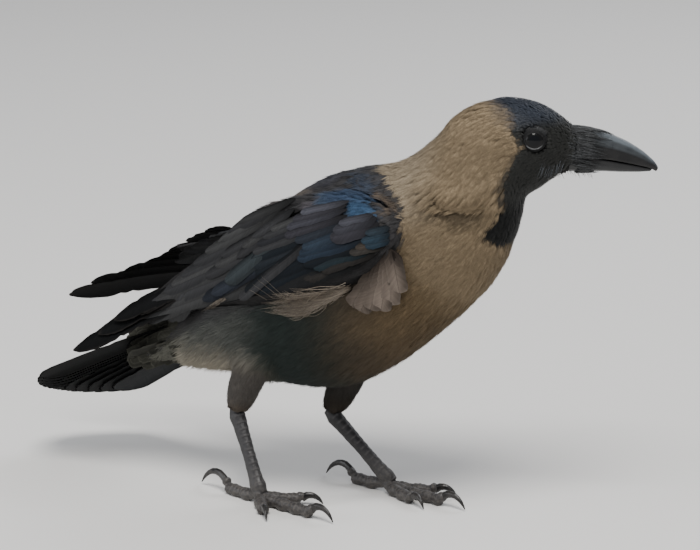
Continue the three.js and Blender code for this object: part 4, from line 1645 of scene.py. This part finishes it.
def add_lid(side, left):
    """A ring of wrinkled skin round the eye, a little longer fore and aft than it is high."""
    deselect()
    bpy.ops.mesh.primitive_torus_add(
        major_segments=96, minor_segments=24, major_radius=LID_RADIUS, minor_radius=1.0, location=(0, 0, 0)
    )
    lid = bpy.context.object
    lid.name = f"eyelid_{side}"
    x, y, z = vertex_values(lid, "co").T
    angle = np.arctan2(y, x)
    out = np.hypot(x, y) - LID_RADIUS
    wrinkle = 1 + 0.06 * np.sin(angle * 23) + 0.05 * np.sin(angle * 37 + 1)
    radius = LID_RADIUS * (1 + 0.05 * np.cos(2 * angle)) + out * LID_WIDTH * wrinkle
    skirt = ease(0.3, 1.0, out)
    radius = radius + LID_SKIRT * skirt
    forward, up = radius * np.cos(angle), radius * np.sin(angle) * 0.97
    depth = math.sqrt(EYE_RADIUS**2 - (LID_RADIUS - 0.35) ** 2)
    high = depth + z * LID_THICK * wrinkle - 0.3 * out - 0.35 * np.cos(angle) ** 2
    over_ball = np.sqrt(np.maximum(EYE_RADIUS**2 - radius**2, 0.1)) + 0.3 + 0.25 * z
    high = high + np.clip(3 * skirt, 0, 1) * (over_ball - high)
    points = (
        eye_middle(left)
        + forward[:, None] * HEAD_FORWARD
        + up[:, None] * UP
        + high[:, None] * left * HEAD_LEFT
    )
    move_points(lid, points)
    if left > 0:
        lid.data.flip_normals()
    shade_smooth(lid)
    inner = ease(0.3, -0.4, out)
    below = ease(-0.35, -0.85, np.sin(angle))
    outer = ease(0.5, 0.9, out)
    # painted highlight along the inner edge of the lower lid; the ring's outer edge a little paler skin; all
    # kept in the gloss values
    carry_colours(lid.data, None, inner * below * 0.45 + inner * 0.02 + outer * 0.11)
    lid.data.materials.append(LID)
    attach(lid, BODY)


def strands(paths, radii, sides=4):
    """Closed tapering hairs along paths of equal numbers of stations."""
    paths = np.asarray(paths)
    count, stations, _ = paths.shape
    aims = unit(np.gradient(paths, axis=1))
    across = unit(np.cross(aims, np.array([0.3, 0.5, 0.8])))
    over = np.cross(aims, across)
    turn = np.arange(sides) * 2 * math.pi / sides
    taper = np.outer(radii, 1 - np.linspace(0, 0.85, stations) ** 1.5)
    ring = np.cos(turn)[:, None] * across[:, :, None] + np.sin(turn)[:, None] * over[:, :, None]
    points = paths[:, :, None] + ring * taper[:, :, None, None]
    number = np.arange(stations * sides).reshape(stations, sides)
    after = np.roll(number, -1, axis=1)
    a, b, c, d = number[:-1], after[:-1], after[1:], number[1:]
    faces = [np.stack([a.ravel(), b.ravel(), c.ravel()], 1), np.stack([a.ravel(), c.ravel(), d.ravel()], 1)]
    for end, order in ((number[0], (0, 2, 1)), (number[-1], (0, 1, 2))):
        fan = [[end[0], end[k], end[k + 1]] for k in range(1, sides - 1)]
        faces.append(np.array(fan)[:, list(order)])
    one = np.vstack(faces)
    shifts = np.arange(count)[:, None, None] * stations * sides
    return points.reshape(-1, 3), (one[None] + shifts).reshape(-1, 3)


BILL_BRISTLES, EDGE_BRISTLES, GAPE_BRISTLES, CHIN_BRISTLES = 980, 420, 24, 90
BILL_BRISTLE_TONE = (0.041, 0.043, 0.045)
GAPE_BRISTLE_TONE = (0.09, 0.1, 0.115)
CHIN_BRISTLE_TONE = (0.015, 0.015, 0.016)


def add_bristles(skin, bill):
    """Stiff hairs: over the base of the upper bill, at the corners of the gape and under the chin."""
    points, _, triangles = mesh_arrays(skin)
    horn_points, _, horn_triangles = bill
    face = tree_of(np.vstack([points, horn_points]), np.vstack([triangles, horn_triangles + len(points)]))

    def over_face(start, steps, heights):
        """A path of steps over the face, each station at its height above it."""
        at, stations = np.array(start), []
        for step, height in zip(steps, heights):
            at = at + step
            near, normal, _, _ = face.find_nearest(Vector(at))
            at = np.array(near)
            stations.append(at + np.array(normal) * height)
        return stations

    stages = 8
    paths, radii = [], []
    for _ in range(BILL_BRISTLES):
        high = rng.random()
        side = rng.uniform(-1, 1)
        round_bill = side * math.radians(125)
        start = on_head(rng.uniform(18, 33), 10.5 * math.sin(round_bill), 188 + 10.5 * math.cos(round_bill))
        reach = rng.uniform(8, 17) - 4 * abs(side)
        fall = -0.1 - 0.25 * abs(side) + rng.normal(0, 0.05)
        aim = unit(HEAD_FORWARD + UP * fall)
        crook = rng.normal(0, 0.03)
        steps = [aim * reach / stages + UP * crook * k / stages * 3 for k in range(stages)]
        heights = 0.2 + (0.2 + 0.45 * high) * np.sin(np.linspace(0.3, 2.9, stages))
        paths.append(over_face(start, steps, heights))
        radii.append(rng.uniform(0.1, 0.18))
    for _ in range(EDGE_BRISTLES):
        round_bill = rng.uniform(-math.pi, math.pi)
        start = on_head(rng.uniform(27, 33.5), 11 * math.sin(round_bill), 187 + 11 * math.cos(round_bill))
        aim, reach = unit(HEAD_FORWARD - 0.15 * UP), rng.uniform(4, 8)
        steps = [aim * reach / stages] * stages
        paths.append(over_face(start, steps, 0.25 + 0.6 * np.sin(np.linspace(0.2, 2.8, stages))))
        radii.append(rng.uniform(0.12, 0.2))
    for side in (1, -1):
        for _ in range(GAPE_BRISTLES):
            start = on_head(rng.uniform(10, 24), side * 12, rng.uniform(180.5, 184.5))
            length, back, bend = rng.uniform(6, 10), rng.uniform(-0.35, 0.1), rng.normal(0, 0.12)
            leans = [back + bend * k / stages for k in range(stages)]
            steps = [(HEAD_FORWARD * lean - UP) * length / stages for lean in leans]
            paths.append(over_face(start, steps, np.linspace(0.3, 1.5, stages)))
            radii.append(rng.uniform(0.09, 0.13))
    for _ in range(CHIN_BRISTLES):
        side = rng.uniform(-1, 1)
        ahead = rng.uniform(14, 36)
        start = on_head(ahead, side * 5, 176.5)
        near, _, _, _ = face.find_nearest(Vector(start))
        start = np.array(near) + UP * 0.3
        reach = rng.uniform(2, 5)
        aim = unit(HEAD_FORWARD * rng.uniform(0.2, 0.8) - UP * rng.uniform(0.5, 1) + HEAD_LEFT * side * 0.2)
        paths.append([start + aim * reach * k / (stages - 1) for k in range(stages)])
        radii.append(rng.uniform(0.07, 0.11))
    points, faces = strands(paths, radii)
    tones = [BILL_BRISTLE_TONE] * (BILL_BRISTLES + EDGE_BRISTLES)
    tones += [GAPE_BRISTLE_TONE] * 2 * GAPE_BRISTLES + [CHIN_BRISTLE_TONE] * CHIN_BRISTLES
    tones = np.array(tones) * rng.uniform(0.25, 1.5, (len(tones), 1))
    colours = np.repeat(tones, len(points) // len(tones), axis=0)
    make_mesh_piece("bill_bristles", points, faces, BRISTLE, "plumage", colours)


# ---- legs ---------------------------------------------------------------------------------
TOES = ("middle", "inner", "outer", "hind")
# ends of each shin, and the way each toe points, in degrees from straight ahead
LEGS = {
    "right": {
        "hock": (-55.5, -18.5, 44),
        "foot": (-38, -28, 9),
        "bearings": (-16, 20, -54, 160),
    },
    "left": {
        "hock": (-20.5, 19.5, 38),
        "foot": (11, 19, 8.5),
        "bearings": (-14, -33, 8, 164),
    },
}
SHIN_PLATE, TOE_PLATE = 3.6, 2.5  # how far apart the scales of the shin and the toes are
KNUCKLE = 2.3  # the radius of the flesh round the root of a claw
TOE_PAD, PAD_SPACING = 0.55, 9.0  # the fullness of the toes' pads and how far apart they are


def claw_root(side, toe):
    """The middle of the end of a claw that meets its toe."""
    claw, flesh = (points_of(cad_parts[f"{part}_{side}_{toe}"]) for part in ("claw", "toe"))
    gap = np.linalg.norm(claw[:, None] - flesh[None], axis=2).min(1)
    return claw[gap < gap.min() + 1.2].mean(0)


def add_knuckle(at):
    deselect()
    bpy.ops.mesh.primitive_uv_sphere_add(
        segments=16, ring_count=10, radius=KNUCKLE * MM, location=placed(at)
    )
    return bpy.context.object


def plate_wave(run, pitch):
    """Overlapping scales: a slow rise and a quick fall, and how near each point is to a scale's edge."""
    phase = (run / pitch) % 1.0
    edge = ease(0.55, 0.85, phase) * ease(1.0, 0.92, phase)
    return ease(0, 0.75, phase) * ease(1.0, 0.9, phase), edge


def add_legs():
    for side, plan in LEGS.items():
        nodes = [f"tarsus_{side}", *[f"toe_{side}_{toe}" for toe in TOES]]
        leg = joined_copy(nodes, f"leg_{side}_scaled", swell=0.15)
        knuckles = [add_knuckle(claw_root(side, toe)) for toe in TOES]
        deselect()
        for piece in (*knuckles, leg):
            piece.select_set(True)
        bpy.context.view_layer.objects.active = leg
        bpy.ops.object.join()
        rounded(leg, 0.42, 6)
        points, normals = points_of(leg), normals_of(leg)
        hock, foot = (np.array(plan[k], float) for k in ("hock", "foot"))
        shin = unit(foot - hock)
        run = (points - hock) @ shin
        front = unit(np.array([1.0, 0, 0]) - shin[0] * shin)
        facing = normals @ front
        on_shin = ease(10, 13, points[:, 2])
        rise, edge = plate_wave(run, SHIN_PLATE)
        share = on_shin * ease(-0.25, 0.35, facing)
        height, ridge = 0.45 * rise * share, 0.6 * edge * share
        on_toes, pads = 1 - on_shin, np.zeros(len(points))
        for bearing in plan["bearings"]:
            aim = np.array([math.cos(math.radians(bearing)), math.sin(math.radians(bearing)), 0])
            away = points - foot
            reach = away @ aim
            off = np.linalg.norm((away - reach[:, None] * aim)[:, :2], axis=1)
            rise, edge = plate_wave(-reach, TOE_PLATE)
            share = on_toes * ease(4.5, 3.5, off) * ease(2, 5, reach) * ease(0.0, 0.5, normals[:, 2])
            height, ridge = np.maximum(height, 0.6 * rise * share), np.maximum(ridge, 0.6 * edge * share)
            bulge = 0.6 + 0.4 * np.cos(2 * math.pi * reach / PAD_SPACING)
            pads = np.maximum(pads, on_toes * ease(5.5, 4.5, off) * ease(-2, 4, reach) * bulge)
        cobble = 0.08 * ripple(points, 0.9) * (points[:, 2] > 2)
        points = points + normals * (0.38 * height + cobble + TOE_PAD * pads - 0.12)[:, None]
        points[:, 2] = np.maximum(points[:, 2], 0.0)
        move_points(leg, points)
        layer = leg.data.attributes.new("ridge", "FLOAT", "POINT")
        layer.data.foreach_set("value", ridge.astype(np.float32))
        leg.data.materials.append(LEG)
        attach(leg, BODY)
        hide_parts(*nodes)
        claws = [f"claw_{side}_{toe}" for toe in TOES]
        horn = joined_copy(claws, f"claws_{side}_horn")
        rounded(horn, 0.28, 4)
        horn.data.materials.append(CLAW)
        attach(horn, BODY)
        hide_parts(*claws)


# ---- the whole bird -----------------------------------------------------------------------
PLUMAGE = plumage_finish()
VANE = vane_finish()
LID = lid_finish()
BRISTLE = bristle_finish()
LEG = leg_finish()
BILL_TONES = ((0.005, 0.005, 0.0055, 1), (0.012, 0.0115, 0.0115, 1))
CLAW_TONES = ((0.01, 0.0095, 0.0095, 1), (0.03, 0.027, 0.025, 1))
BILL = horn_finish("bill_horn", *BILL_TONES, 0.34, 500, (0.25, 1, 1))
CLAW = horn_finish("claw_horn", *CLAW_TONES, 0.3, 900, (1, 1, 1))

WINGS = {side: [f"wing_{side}_{part}" for part in WING_PARTS] for side in ("left", "right")}
wing_trees = {side: solid_tree(nodes) for side, nodes in WINGS.items()}
wing_shells = {side: smooth_shell(nodes) for side, nodes in WINGS.items()}
skin = make_skin()
bill = add_bill()
make_coat(skin)
add_wings(wing_trees, wing_shells)
flank_trees = {
    side: solid_tree(["trunk", "neck", f"wing_{side}_coverts", f"wing_{side}_secondaries"])
    for side in ("left", "right")
}
add_flank_fans(flank_trees)
add_wisps(flank_trees)
add_tail()
add_eyes()
add_bristles(skin, bill)
add_legs()
for piece, nodes in (
    ("wing_right_flight_feathers", ["wing_right_primaries"]),
    ("wing_left_flight_feathers", ["wing_left_primaries"]),
    ("tail_feathers", ["tail"]),
):
    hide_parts(*nodes)
add_camera()
add_studio()
